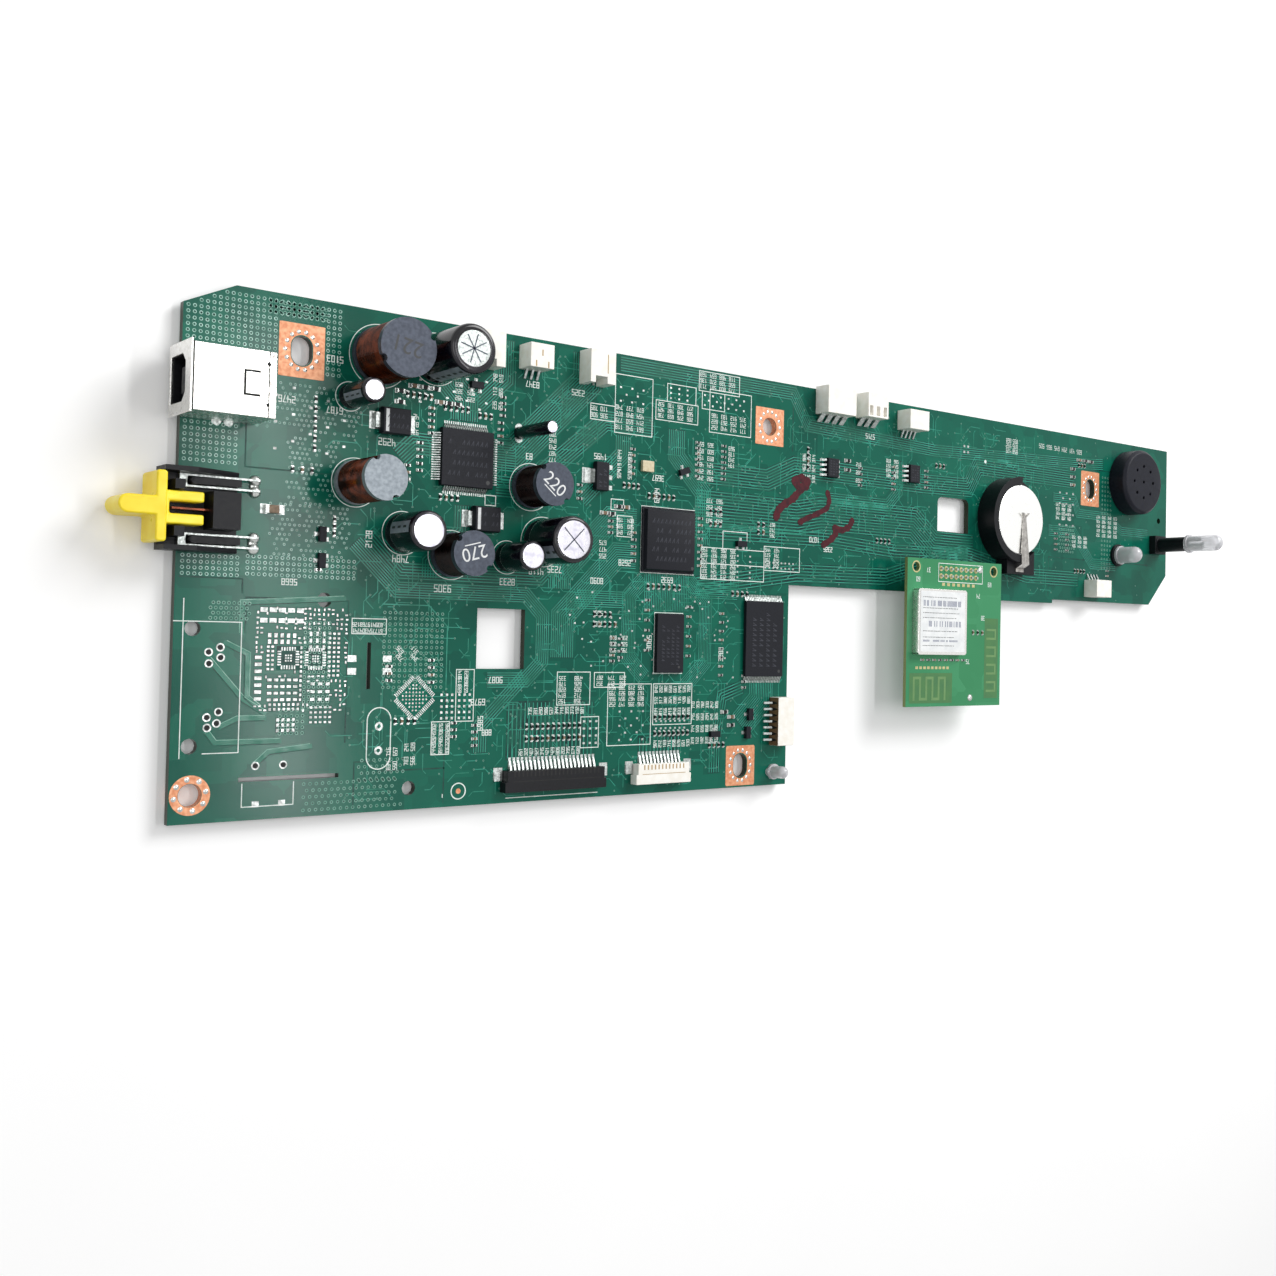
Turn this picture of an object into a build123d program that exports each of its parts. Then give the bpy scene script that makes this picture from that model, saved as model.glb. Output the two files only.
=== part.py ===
from build123d import *
import os
from math import cos, hypot, radians, sin

# Controller board of a desktop printer: a thin L-shaped circuit board, its sockets, coils,
# capacitors, chips, cell holder, sounder, lamps and a raised radio module.
#
# Millimetres, +Z up. The origin is the axis of the corner mounting hole on the board's
# underside, the face that rests on the chassis posts. +X runs along the board, away from the
# power inlet, and +Y towards its long straight back edge.
# Places below are counted from the board's edges: the left edge carries the power inlet and the
# USB port, the front edge the ribbon sockets, and the right edge ends the narrow arm.

# ---- Board ----
board_length = 310.4
board_depth = 99.6
board_thickness = 1.6
main_length = 147.6  # deep part, from the left edge
arm_depth = 50.2  # narrow part, from the back edge
left_corner_x = 9.5  # cut-off corner at the back left
left_corner_y = 4.6
right_corner_x = 9.3  # cut-off corner at the front of the arm's end
right_corner_y = 9.6
break_tab_depth = 1.1  # rim left where the panel was snapped apart
break_tab_length = 44.0
break_tab_from_right = 58.4

deck = board_thickness  # height of the board's upper face
arm_front = board_depth - arm_depth

# ---- Mounting holes ----
corner_hole_radius = 2.1
corner_hole_x = 3.8
corner_hole_y = 5.2
locating_hole_radius = 2.15
locating_hole_x = 140.3
locating_hole_y = board_depth - 11.4
slot_width = 4.1
slot_length = 5.7
slot_left_x = 22.2
slot_left_y = board_depth - 10.4
slot_front_x = main_length - 14.6
slot_front_y = corner_hole_y
slot_right_x = board_length - 40.7
slot_right_y = board_depth - 15.7

# ---- Windows, milled slots and tooling holes ----
window_x = 66.9
window_y = 34.7
window_length = 11.4
window_depth = 12.7
arm_window_x = board_length - 102.6
arm_window_y = board_depth - 29.4
arm_window_length = 12.6
arm_window_depth = 11.6
arm_window_corner = 1.6
milled_slot_width = 0.8
milled_slot_1_x = 37.5
milled_slot_1_y = 28.9
milled_slot_1_length = 9.2
milled_slot_2_x = 22.2
milled_slot_2_y = 7.6
milled_slot_2_length = 19.4
tooling_hole_radius = 1.45
tooling_hole_1 = (3.4, 35.6)
tooling_hole_2 = (3.4, 14.1)
tooling_hole_3 = (28.1, 41.6)
tooling_hole_4 = (46.7, 4.3)
lamp_hole_radius = 0.9
lamp_hole_x = board_length - 4.3
lamp_hole_y = board_depth - 23.0

# ---- Leads through the board ----
pin_width = 0.6
pin_clearance = 0.1
pin_below = 1.2  # how far a trimmed lead stands out below the board

# ---- USB port ----
usb_width = 12.05
usb_height = 11.0
usb_length = 15.4
usb_overhang = 2.1
usb_sheet = 0.4
usb_lip = 0.5
usb_y = board_depth - 19.7
usb_mouth_depth = 9.0
usb_mouth_width = 8.5
usb_mouth_height = 7.8
usb_mouth_low = 0.9  # above the board's upper face
usb_mouth_corner = 1.6  # cut off the two upper corners
usb_tongue_width = 5.6
usb_tongue_height = 3.2
usb_clearance = 0.05
usb_contact_width = 1.0
usb_contact_gap = 2.5
usb_contact_thickness = 0.2
usb_latch_width = 4.6
usb_latch_length = 2.9
usb_latch_slit = 0.3
usb_leg_width = 2.2
usb_leg_x = 7.6

# ---- Power inlet ----
inlet_y = board_depth - 42.6
inlet_width = 15.0
inlet_overhang = 3.8
inlet_length = 14.2
inlet_floor = 1.0
inlet_wall = 0.9
inlet_wall_height = 5.4
inlet_block_length = 5.0
inlet_block_width = 6.8
inlet_block_height = 6.0
inlet_finger_width = 1.3
inlet_finger_height = 2.2
inlet_finger_offset = 5.35
inlet_post = 1.8
inlet_post_offset = 4.2
key_height = 8.4
key_below = 1.2  # how far the key's cross reaches below the board's upper face
key_bar_length = 12.6
key_bar_width = 1.9
key_arm_length = 6.2
key_arm_width = 3.4
key_prong_width = 1.9
key_prong_gap = 2.2
key_prong_length = 6.9
strip_width = 0.4
strip_height = 0.9
strip_length = 14.6
strip_spread = 2.0  # between the two arms of a hairpin
strip_plate_length = 1.4
strip_inset = 3.5  # from the housing's left end

# ---- Power chokes: drum cores with open windings ----
choke_1_diameter = 11.6
choke_1_height = 13.0
choke_1_x = 38.0
choke_1_y = board_depth - 9.1
choke_2_diameter = 8.8
choke_2_height = 14.0
choke_2_x = 33.6
choke_2_y = board_depth - 34.7
small_choke_diameter = 9.2
small_choke_height = 10.1
choke_3_x = 73.1
choke_3_y = board_depth - 32.2
choke_4_x = 54.7
choke_4_y = board_depth - 47.8
choke_base = 1.2
choke_flange = 1.3
choke_notch = 0.75
choke_core_share = 0.45  # waist of the drum against its flange
choke_inset = 0.35  # how far the winding stays inside the flange
choke_play = 0.02
choke_pin_share = 1.6  # distance of the two leads against the radius

# ---- Electrolytic capacitors ----
cap_1_radius = 5.0
cap_1_height = 16.0
cap_1_x = 50.3
cap_1_y = board_depth - 7.9
cap_2_radius = 2.5
cap_2_height = 11.4
cap_2_x = 32.0
cap_2_y = board_depth - 17.9
cap_3_radius = 4.0
cap_3_height = 11.7
cap_3_x = 43.9
cap_3_y = board_depth - 44.0
cap_4_radius = 3.15
cap_4_height = 11.0
cap_4_x = 67.8
cap_4_y = board_depth - 47.6
cap_5_radius = 5.0
cap_5_height = 12.7
cap_5_x = 76.5
cap_5_y = board_depth - 43.8
can_edge = 0.5
can_rim = 1.3  # between the vent's ends and the can's side
vent_from_radius = 4.5  # smaller cans are plain
vent_width = 0.3
vent_depth = 0.15
slim_radius = 1.4
slim_height = 13.6
slim_x = 70.0
slim_y = board_depth - 20.9

# ---- Chips and other flat packages ----
standoff = 0.1
diode_length = 6.2
diode_width = 5.4
diode_height = 2.3
diode_tab_width = 3.0
diode_tab_length = 0.9
diode_tab_thickness = 0.25
diode_1 = (41.1, board_depth - 21.9)
diode_2 = (61.9, board_depth - 40.0)
qfp_x = 57.35
qfp_y = board_depth - 27.7
qfp_body = 12.0
qfp_height = 1.4
qfp_ways = 20  # each side
qfp_pitch = 0.5
regulator_x = 90.6
regulator_y = board_depth - 28.3
regulator_length = 6.5
regulator_width = 3.5
regulator_height = 1.6
regulator_tab = 3.0
regulator_pitch = 2.3
processor_x = 109.9
processor_y = board_depth - 41.5
processor_size = 15.0
processor_height = 1.6
substrate_height = 0.5
mold_margin = 0.4
memory_x = processor_x + 0.7
memory_y = processor_y - 23.7
memory_length = 7.6
memory_depth = 13.6
memory_height = 1.2
flash_x = main_length - 8.4
flash_y = 35.85
flash_width = 12.0
flash_depth = 18.4
flash_height = 1.0
flash_ways = 24  # each end
lead_reach = 1.0
lead_thickness = 0.15
lead_width_share = 0.44  # of the pitch
small_ic_width = 3.9
small_ic_depth = 4.9
small_ic_height = 1.5
small_ic_pitch = 1.27
small_ic_1 = (board_length - 149.6, board_depth - 19.7)
small_ic_2 = (board_length - 119.6, board_depth - 18.5)
oscillator_length = 3.2
oscillator_width = 2.5
oscillator_height = 0.9
oscillator_x = 103.5
oscillator_y = board_depth - 24.8
transistor_length = 2.9
transistor_width = 1.4
transistor_height = 1.0

# ---- Wire headers, side entry, surface mounted ----
header_pitch = 1.5
header_end = 1.4  # housing beyond the outer contacts
header_depth = 5.2
header_height = 4.9
header_wall = 0.6
header_cavity_depth = 3.4
tall_header_length = 6.6
tall_header_depth = 7.4
tall_header_height = 4.7
tall_header_notch_width = 3.0
tall_header_notch_depth = 1.5
tall_header_notch_x = -0.4
tall_header_edge_gap = 0.9
edge_gap = 1.9  # housing to board edge
header_foot = 1.9
header_1_x = 60.5
header_2_x = 72.5
header_3_x = 88.1
header_4_x = board_length - 150.0
header_5_x = board_length - 137.2
header_6_x = board_length - 121.6
header_7_x = board_length - 39.4
header_8_y = 15.7
header_8_height = 3.5
header_8_inset = 0.4
arm_edge_gap = 1.3
wide_pitch = 2.5
wide_header_end = 1.15  # housing beyond the outer contacts
wide_header_depth = 7.0
wide_header_overhang = 0.6
wide_header_foot_width = 1.5
latch_slot_width = 1.1
latch_slot_length = 2.4
latch_slot_depth = 2.6
latch_slot_inset = 0.5  # behind it to the housing's back

# ---- Ribbon sockets ----
ribbon_pitch = 1.0
ribbon_1_ways = 22
ribbon_2_ways = 12
ribbon_1_x = 80.2
ribbon_2_x = 108.7
ribbon_y = 4.6
ribbon_depth = 4.6
ribbon_height = 2.4
ribbon_slot = 1.0
ribbon_slot_depth = 3.0
ribbon_end = 2.2
ribbon_foot = 1.9
ribbon_tab_width = 0.5  # how far a holding tab goes into the body's end
ribbon_tab_reach = 1.5  # and how far it stands out of it
ribbon_tab_length = 2.4

# ---- Coin cell and holder ----
cell_radius = 10.0
cell_height = 3.2
holder_x = board_length - 80.2
holder_y = board_depth - 28.3
holder_radius = 12.2
holder_floor = 2.6
holder_wall_top = 6.2
cell_play = 0.15
holder_tail_width = 12.0
holder_tail_length = 5.0
holder_tail_height = 4.2
holder_mouth_angle = 165.0  # the wall is left open towards the board's right end
clip_width = 3.4
clip_tip_width = 1.3
clip_thickness = 0.3

# ---- Sounder and lamps ----
sounder_radius = 10.0
sounder_height = 6.0
sounder_edge = 0.9
sounder_x = board_length - 21.1
sounder_y = board_depth - 12.3
sounder_hole = 0.5
sounder_ring = 4.9
sounder_hole_depth = 1.0
sounder_pin_gap = 10.0
tall_lamp_x = board_length - 6.4
tall_lamp_y = board_depth - 31.0
tall_lamp_height = 24.4
spacer_height = 12.4
spacer_radius = 2.3
spacer_foot = 5.8
spacer_foot_height = 2.4
lamp_radius = 2.5
sensor_x = board_length - 26.6
sensor_y = board_depth - 35.3
sensor_height = 9.0
sensor_flange = 2.9
sensor_base_height = 1.0
front_lamp_x = main_length - 4.3
front_lamp_y = 3.3
front_lamp_height = 5.3
front_lamp_radius = 1.5
flange_height = 0.9
sensor_base_radius = 3.4
lamp_pin_gap = 2.54

# ---- Radio module ----
radio_length = 37.6
radio_depth = 39.3
radio_thickness = 1.0
radio_x = board_length - 108.8
radio_back = 41.5  # from the board's back edge to the module's
radio_gap = 6.0  # between the two boards
radio_hole_radius = 1.2
radio_hole_inset = 3.3
radio_hole_from_back = 2.3
radio_pin_pitch = 2.0
radio_header_ways = 8
radio_pins_from_left = 19.9
radio_pins_from_back = 3.4
radio_socket_height = 4.2
radio_pin_tip = 0.7
shield_length = 18.9
shield_depth = 17.4
shield_height = 2.2
shield_sheet = 0.2
shield_from_left = 11.6
shield_from_back = 16.8

# ---- Small chip parts ----
chip_1206 = (3.2, 1.6, 1.0)
chip_0603 = (1.6, 0.8, 0.5)


def block(length, depth, height, x, y, z):
    """A box centred on x and y that stands on the level z."""
    return Pos(x, y, z + height / 2) * Box(length, depth, height)


def span(x0, x1, y0, y1, z0, z1):
    """A box between two limits on each axis."""
    return Pos((x0 + x1) / 2, (y0 + y1) / 2, (z0 + z1) / 2) * Box(x1 - x0, y1 - y0, z1 - z0)


def rod(radius, x, y, z0, z1):
    """An upright cylinder between two levels."""
    return Pos(x, y, (z0 + z1) / 2) * Cylinder(radius, z1 - z0)


def turned(points, x, y):
    """A body turned from a half section, given as (radius, level) points."""
    face = Plane.XZ * make_face(Polyline(*points, close=True))
    return Pos(x, y, 0) * revolve(face, Axis.Z)


def profile_y(points, width, y):
    """A section of (x, z) points, drawn out evenly to both sides of y."""
    face = Plane.XZ * make_face(Polyline(*points, close=True))
    return Pos(0, y, 0) * extrude(face, width / 2, both=True)


def drilled(radius, x, y):
    """A small plain hole up to the tallest board. Twelve sides are enough at this size."""
    return Pos(x, y, -1) * extrude(RegularPolygon(radius, 12), 20)


def slot_cut(x, y):
    """A round-ended mounting slot through the board, longer towards the back edge."""
    return Pos(x, y, -1) * extrude(SlotOverall(slot_length, slot_width, rotation=90), board_thickness + 2)


def save(name, *shapes):
    """Moves the pieces from the board's corner to the frame's origin and writes one STEP file."""
    solids = [solid for shape in shapes for solid in shape.solids()]
    node = Pos(-corner_hole_x, -corner_hole_y, 0) * Compound(solids)
    export_step(node, f"parts/{name}.step")


pin_places = []


def pin(x, y, top):
    """A lead from the level top down through the board, trimmed just below it."""
    pin_places.append((x, y))
    return block(pin_width, pin_width, top + pin_below, x, y, -pin_below)


def pin_pair(x, y, gap, angle=0):
    """Two leads under a body, on a line turned by angle."""
    dx, dy = gap / 2 * cos(radians(angle)), gap / 2 * sin(radians(angle))
    return [pin(x + side * dx, y + side * dy, deck) for side in (-1, 1)]


# ---- USB port ----
def usb_mouth(x0, x1):
    """The plug's way in, between two distances from the left edge: its two upper corners are cut off."""
    half = usb_mouth_width / 2
    low = deck + usb_mouth_low
    high = low + usb_mouth_height
    shoulder = half - usb_mouth_corner
    face = Plane.YZ * make_face(Polyline(
        (-half, low), (half, low), (half, high - usb_mouth_corner), (shoulder, high),
        (-shoulder, high), (-half, high - usb_mouth_corner), close=True))
    return Pos(x0, usb_y, 0) * extrude(face, x1 - x0)


def usb_port():
    front = -usb_overhang
    rear = front + usb_length
    half = usb_width / 2
    top = deck + usb_height
    inner = half - usb_sheet
    shell = span(front, rear, usb_y - half, usb_y + half, deck, top)
    face_back = front + usb_sheet
    shell -= span(face_back, rear - usb_sheet, usb_y - inner, usb_y + inner, deck - 1, top - usb_sheet)
    lip_outer = half + usb_lip
    shell += span(front, face_back, usb_y - lip_outer, usb_y + lip_outer, deck, top + usb_lip)
    shell -= usb_mouth(front - 1, face_back + 1)
    latch_x0 = front + usb_length * 0.62
    latch = span(latch_x0, latch_x0 + usb_latch_length,
                 usb_y - usb_latch_width / 2, usb_y + usb_latch_width / 2, top - 2 * usb_sheet, top + 1)
    tongue = span(latch_x0 + usb_latch_slit, latch_x0 + usb_latch_length + 1,
                  usb_y - usb_latch_width / 2 + usb_latch_slit, usb_y + usb_latch_width / 2 - usb_latch_slit,
                  top - 3 * usb_sheet, top + 2)
    shell -= latch - tongue
    for side in (-1, 1):
        y = usb_y + side * (half - usb_sheet / 2)
        shell += block(usb_leg_width, usb_sheet, deck + pin_below, usb_leg_x, y, -pin_below)
    save("usb_shell", shell)

    wall = inner - usb_clearance
    mouth_end = front + usb_mouth_depth
    body_rear = rear - usb_sheet - usb_clearance
    body_top = top - usb_sheet - usb_clearance
    body = span(face_back + usb_clearance, body_rear, usb_y - wall, usb_y + wall, deck, body_top)
    body -= usb_mouth(front, mouth_end)
    middle = deck + usb_mouth_low + usb_mouth_height / 2
    tip = front + 1.2
    tongue = span(tip, mouth_end, usb_y - usb_tongue_width / 2, usb_y + usb_tongue_width / 2,
                  middle - usb_tongue_height / 2, middle + usb_tongue_height / 2)
    edges = tongue.edges().filter_by(Axis.Z).group_by(Axis.X)[0]
    body += chamfer(edges, 0.5)
    save("usb_insulator", body)

    contacts = []
    for side in (-1, 1):
        y = usb_y + side * usb_contact_gap / 2
        for face in (-1, 1):
            z = middle + face * (usb_tongue_height + usb_contact_thickness) / 2
            contacts.append(Pos(0, 0, z - usb_contact_thickness / 2) * span(
                tip + 0.6, mouth_end, y - usb_contact_width / 2, y + usb_contact_width / 2,
                0, usb_contact_thickness))
        for x in (body_rear - 1.2, body_rear - 3.2):
            contacts.append(pin(x, y, deck))
    save("usb_contacts", *contacts)
    return [(usb_leg_x, usb_y + side * (half - usb_sheet / 2)) for side in (-1, 1)]


# ---- Power inlet ----
def power_inlet():
    left = -inlet_overhang
    right = left + inlet_length
    half = inlet_width / 2
    floor_top = deck + inlet_floor
    housing = span(left, right, inlet_y - half, inlet_y + half, deck, floor_top)
    wall_top = deck + inlet_wall_height
    wall_section = [(left, deck), (left, wall_top), (left + inlet_length * 0.4, wall_top),
                    (right, floor_top + 0.6), (right, deck)]
    for side in (-1, 1):
        housing += profile_y(wall_section, inlet_wall, inlet_y + side * (half - inlet_wall / 2))
        finger_left = left + strip_inset + strip_plate_length + 0.2
        finger_y = inlet_y + side * inlet_finger_offset
        finger_half = inlet_finger_width / 2
        housing += span(finger_left + finger_half, right, finger_y - finger_half, finger_y + finger_half,
                        deck, floor_top + inlet_finger_height)
        housing += rod(finger_half, finger_left + finger_half, finger_y,
                       deck, floor_top + inlet_finger_height)
        housing += block(inlet_post, inlet_post, inlet_block_height, left + 2.4,
                         inlet_y + side * inlet_post_offset, deck)
    block_left = right - inlet_block_length - 1.0
    housing += span(block_left, right - 1.0, inlet_y - inlet_block_width / 2, inlet_y + inlet_block_width / 2,
                    deck, deck + inlet_block_height)
    save("inlet_housing", housing)

    key_top = deck + key_height - key_below
    bar_right = left - 0.1
    bar_left = bar_right - key_bar_width
    low = deck - key_below
    key = span(bar_left, bar_right, inlet_y - key_bar_length / 2, inlet_y + key_bar_length / 2, low, key_top)
    tip = bar_left - key_arm_length + key_arm_width / 2
    key += span(tip, bar_left, inlet_y - key_arm_width / 2, inlet_y + key_arm_width / 2, low, key_top)
    key += rod(key_arm_width / 2, tip, inlet_y, low, key_top)
    fork_half = key_prong_gap / 2 + key_prong_width
    fork = span(bar_right, bar_right + key_prong_length, inlet_y - fork_half, inlet_y + fork_half,
                floor_top, key_top - 1.6)
    fork -= span(bar_right + 0.9, bar_right + 20, inlet_y - key_prong_gap / 2, inlet_y + key_prong_gap / 2,
                 0, key_top + 1)
    key += fork
    rounded = key.edges().filter_by(Axis.Z).sort_by(Axis.Y)
    key = fillet([rounded[0], rounded[1], rounded[-1], rounded[-2]], 0.6)
    save("inlet_key", key)

    contacts = []
    for side in (-1, 1):
        y = inlet_y + side * inlet_finger_offset
        plate_left = left + strip_inset
        plate_right = plate_left + strip_plate_length
        z = floor_top
        half_spread = strip_spread / 2
        end = plate_left + strip_length
        plate = span(plate_left, plate_right, y - half_spread - strip_width / 2,
                     y + half_spread + strip_width / 2, z, z + strip_height)
        for edge in (-1, 1):
            strip_y = y + edge * half_spread
            plate += span(plate_right - 0.3, end, strip_y - strip_width / 2, strip_y + strip_width / 2,
                          z, z + strip_height)
            plate += span(end - pin_width, end, strip_y - strip_width / 2, strip_y + strip_width / 2, deck, z)
            plate += pin(end - pin_width / 2, strip_y, deck)
        contacts.append(plate)
    blade = span(left + 1.6, block_left, inlet_y - 0.2, inlet_y + 0.2, floor_top, floor_top + 3.0)
    save("inlet_contacts", *contacts, blade)


# ---- Chokes ----
def waist(radius, z0, z1):
    """The drum's middle. It is hidden in the winding, so twelve flat sides are enough."""
    return Pos(0, 0, z0) * extrude(RegularPolygon(radius, 12), z1 - z0)


def notch(x, y, z0, z1):
    """A nick in the drum's upper rim, where a wire end passes."""
    return Pos(x, y, z0) * extrude(RegularPolygon(choke_notch, 8), z1 - z0)


def choke(diameter, height, x, y, notch_angle):
    """A ferrite drum whose winding fills the waist between its two flanges, on two leads."""
    radius = diameter / 2
    core_radius = radius * choke_core_share
    top = deck + height
    lower = deck + choke_base
    upper = top - choke_flange
    core = rod(radius, 0, 0, deck, lower) + waist(core_radius, lower, upper) + rod(radius, 0, 0, upper, top)
    for turn in (0, 180):
        angle = radians(notch_angle + turn)
        core -= notch(radius * cos(angle), radius * sin(angle), upper - 1, top + 1)
    winding = rod(radius - choke_inset, 0, 0, lower, upper) - waist(core_radius + choke_play, lower, upper)
    place = Pos(x, y, 0)
    return place * core, [place * winding, *pin_pair(x, y, radius * choke_pin_share, notch_angle)]


def chokes():
    cores, coppers = [], []
    for diameter, height, x, y, angle in (
            (choke_1_diameter, choke_1_height, choke_1_x, choke_1_y, 28),
            (choke_2_diameter, choke_2_height, choke_2_x, choke_2_y, 118),
            (small_choke_diameter, small_choke_height, choke_3_x, choke_3_y, 130),
            (small_choke_diameter, small_choke_height, choke_4_x, choke_4_y, 140)):
        core, copper = choke(diameter, height, x, y, angle)
        cores.append(core)
        coppers += copper
    save("choke_cores", *cores)
    save("choke_windings", *coppers)


# ---- Electrolytic capacitors ----
def capacitor(number, radius, height, x, y, angle):
    """A can in its shrunk sleeve, with a pressed-in rim round the top and two leads."""
    top = deck + height
    can = rod(radius, x, y, deck, top)
    if radius >= vent_from_radius:
        can = chamfer(can.edges().sort_by(Axis.Z)[-1], can_edge)
        vent = radius - can_rim
        for turn in (0, 90):
            can -= Pos(x, y, top) * Rot(0, 0, angle + turn) * Box(2 * vent, vent_width, 2 * vent_depth)
    save(f"capacitor_{number}", can, *pin_pair(x, y, radius, angle))


def slim_capacitor():
    body = rod(slim_radius, slim_x, slim_y, deck, deck + slim_height)
    save("slim_capacitor", body, *pin_pair(slim_x, slim_y, 2 * slim_radius - pin_width, 90))


# ---- Flat packages ----
def package(length, depth, height, x, y):
    """A moulded body: two halves that lean in from the parting line."""
    half = height / 2
    lower = extrude(Rectangle(length, depth), half, taper=8)
    upper = Pos(0, 0, standoff + half) * lower
    under = Pos(x, y, deck + standoff + half) * Rot(180, 0, 0) * lower
    return under + Pos(x, y, deck) * upper


def gull_leads(count, pitch, edge, rise, x, y, turn):
    """A row of bent leads along one side of a body. edge is the side's distance from the centre."""
    width = pitch * lead_width_share
    t = lead_thickness
    points = [(0, rise + t), (lead_reach, t), (lead_reach, 0), (0, rise - t)]
    face = Plane.XZ * make_face(Polyline(*points, close=True))
    lead = extrude(face, width / 2, both=True)
    row = []
    for index in range(count):
        offset = (index - (count - 1) / 2) * pitch
        row.append(Pos(x, y, deck) * Rot(0, 0, turn) * Pos(edge, offset, 0) * lead)
    return row


def chips():
    save("motor_driver_body", package(qfp_body, qfp_body, qfp_height, qfp_x, qfp_y))
    rise = standoff + qfp_height / 2 - lead_thickness / 2
    leads = []
    for turn in (0, 90, 180, 270):
        leads += gull_leads(qfp_ways, qfp_pitch, qfp_body / 2, rise, qfp_x, qfp_y, turn)
    save("motor_driver_leads", *leads)

    save("regulator_body", package(regulator_width, regulator_length, regulator_height,
                                   regulator_x, regulator_y))
    rise = standoff + regulator_height / 2 - lead_thickness / 2
    leads = gull_leads(3, regulator_pitch, regulator_width / 2, rise, regulator_x, regulator_y, 0)
    tab_edge = regulator_x - regulator_width / 2
    leads.append(profile_y([(tab_edge, deck + rise), (tab_edge - 0.7, deck), (tab_edge - 2.2, deck),
                            (tab_edge - 2.2, deck + 0.25), (tab_edge - 0.6, deck + 0.25),
                            (tab_edge, deck + rise + 0.25)], regulator_tab, regulator_y))
    save("regulator_leads", *leads)

    base = block(processor_size, processor_size, substrate_height, processor_x, processor_y, deck)
    cap_size = processor_size - 2 * mold_margin
    cap = Pos(processor_x, processor_y, deck + substrate_height) * extrude(
        Rectangle(cap_size, cap_size), processor_height - substrate_height, taper=15)
    save("processor_chip", base + cap)
    save("memory_chip", block(memory_length, memory_depth, memory_height, memory_x, memory_y, deck))

    save("flash_chip_body", package(flash_width, flash_depth, flash_height, flash_x, flash_y))
    rise = standoff + flash_height / 2 - lead_thickness / 2
    leads = []
    for turn in (90, 270):
        leads += gull_leads(flash_ways, qfp_pitch, flash_depth / 2, rise, flash_x, flash_y, turn)
    save("flash_chip_leads", *leads)

    bodies, leads = [], []
    rise = standoff + small_ic_height / 2 - lead_thickness / 2
    for x, y in (small_ic_1, small_ic_2):
        bodies.append(package(small_ic_width, small_ic_depth, small_ic_height, x, y))
        for turn in (0, 180):
            leads += gull_leads(4, small_ic_pitch, small_ic_width / 2, rise, x, y, turn)
    save("small_chip_bodies", *bodies)
    save("small_chip_leads", *leads)

    oscillator = block(oscillator_length, oscillator_width, oscillator_height,
                       oscillator_x, oscillator_y, deck)
    save("oscillator", oscillator)


def transistor_places():
    """Centre and turn of each three-leg package."""
    front_right = main_length - 12.1
    inlet_right = inlet_length + 12.9
    return [(cap_1_x + 9.2, cap_1_y - 4.1, 0), (processor_x + 4.1, processor_y + 16.5, 20),
            (front_right, 17.5, 90), (front_right - 0.7, 13.1, 90), (front_right - 10.8, 13.0, 0),
            (inlet_right, inlet_y - 2.7, 90), (inlet_right, inlet_y - 7.8, 90),
            (processor_x + 21.8, processor_y + 0.6, 0)]


def transistors():
    bodies = []
    for x, y, turn in transistor_places():
        bodies.append(Pos(x, y, deck) * Rot(0, 0, turn) * block(
            transistor_length, transistor_width, transistor_height, 0, 0, 0))
    save("transistors", *bodies)


def diodes():
    bodies, tabs = [], []
    for x, y in (diode_1, diode_2):
        bodies.append(package(diode_length, diode_width, diode_height, x, y))
        rise = deck + standoff + diode_height / 2
        for side in (-1, 1):
            edge = x + side * diode_length / 2
            out = edge + side * diode_tab_length
            t = side * diode_tab_thickness
            tabs.append(profile_y([(edge, rise), (out, rise), (out, deck), (edge, deck),
                                   (edge, deck + diode_tab_thickness), (out - t, deck + diode_tab_thickness),
                                   (out - t, rise - diode_tab_thickness), (edge, rise - diode_tab_thickness)],
                                  diode_tab_width, y))
    save("diode_bodies", *bodies)
    save("diode_tabs", *tabs)


# ---- Wire headers ----
header_contacts = []


def ways_length(ways):
    return (ways - 1) * header_pitch + 2 * header_end


def header_shape(ways, length, depth, height, pitch):
    """A side-entry housing about the origin: its mouth looks along +Y and its legs leave at the back."""
    body = block(length, depth, height, 0, 0, 0)
    mouth = block(length - 2 * header_wall, header_cavity_depth, height - 2 * header_wall,
                  0, depth / 2 - header_cavity_depth / 2, header_wall)
    body -= mouth
    pins = []
    for index in range(ways):
        x = (index - (ways - 1) / 2) * pitch
        pins.append(block(0.5, header_cavity_depth - 0.6, 0.5, x,
                          depth / 2 - header_cavity_depth + (header_cavity_depth - 0.6) / 2,
                          height / 2 - 0.25))
    return body, pins


def header_legs(ways, pitch, width, depth, rise):
    """Legs behind the housing: each drops from the body to a flat foot on the board."""
    legs = []
    t = 0.25
    for index in range(ways):
        x = (index - (ways - 1) / 2) * pitch
        y0 = -depth / 2
        y1 = y0 - header_foot
        face = Plane.YZ * make_face(Polyline((y0, rise), (y1, t), (y1, 0), (y0, rise - 2 * t), close=True))
        legs.append(Pos(x, 0, 0) * extrude(face, width / 2, both=True))
    return legs


def placed_header(body, metal, x, y, turn):
    where = Pos(x, y, deck) * Rot(0, 0, turn)
    header_contacts.extend(where * piece for piece in metal)
    return where * body


def fine_header(ways, height, x, y, turn):
    """A header with its contacts 1.5 mm apart."""
    body, pins = header_shape(ways, ways_length(ways), header_depth, height, header_pitch)
    legs = header_legs(ways, header_pitch, 0.5, header_depth, 1.2)
    return placed_header(body, pins + legs, x, y, turn)


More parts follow.
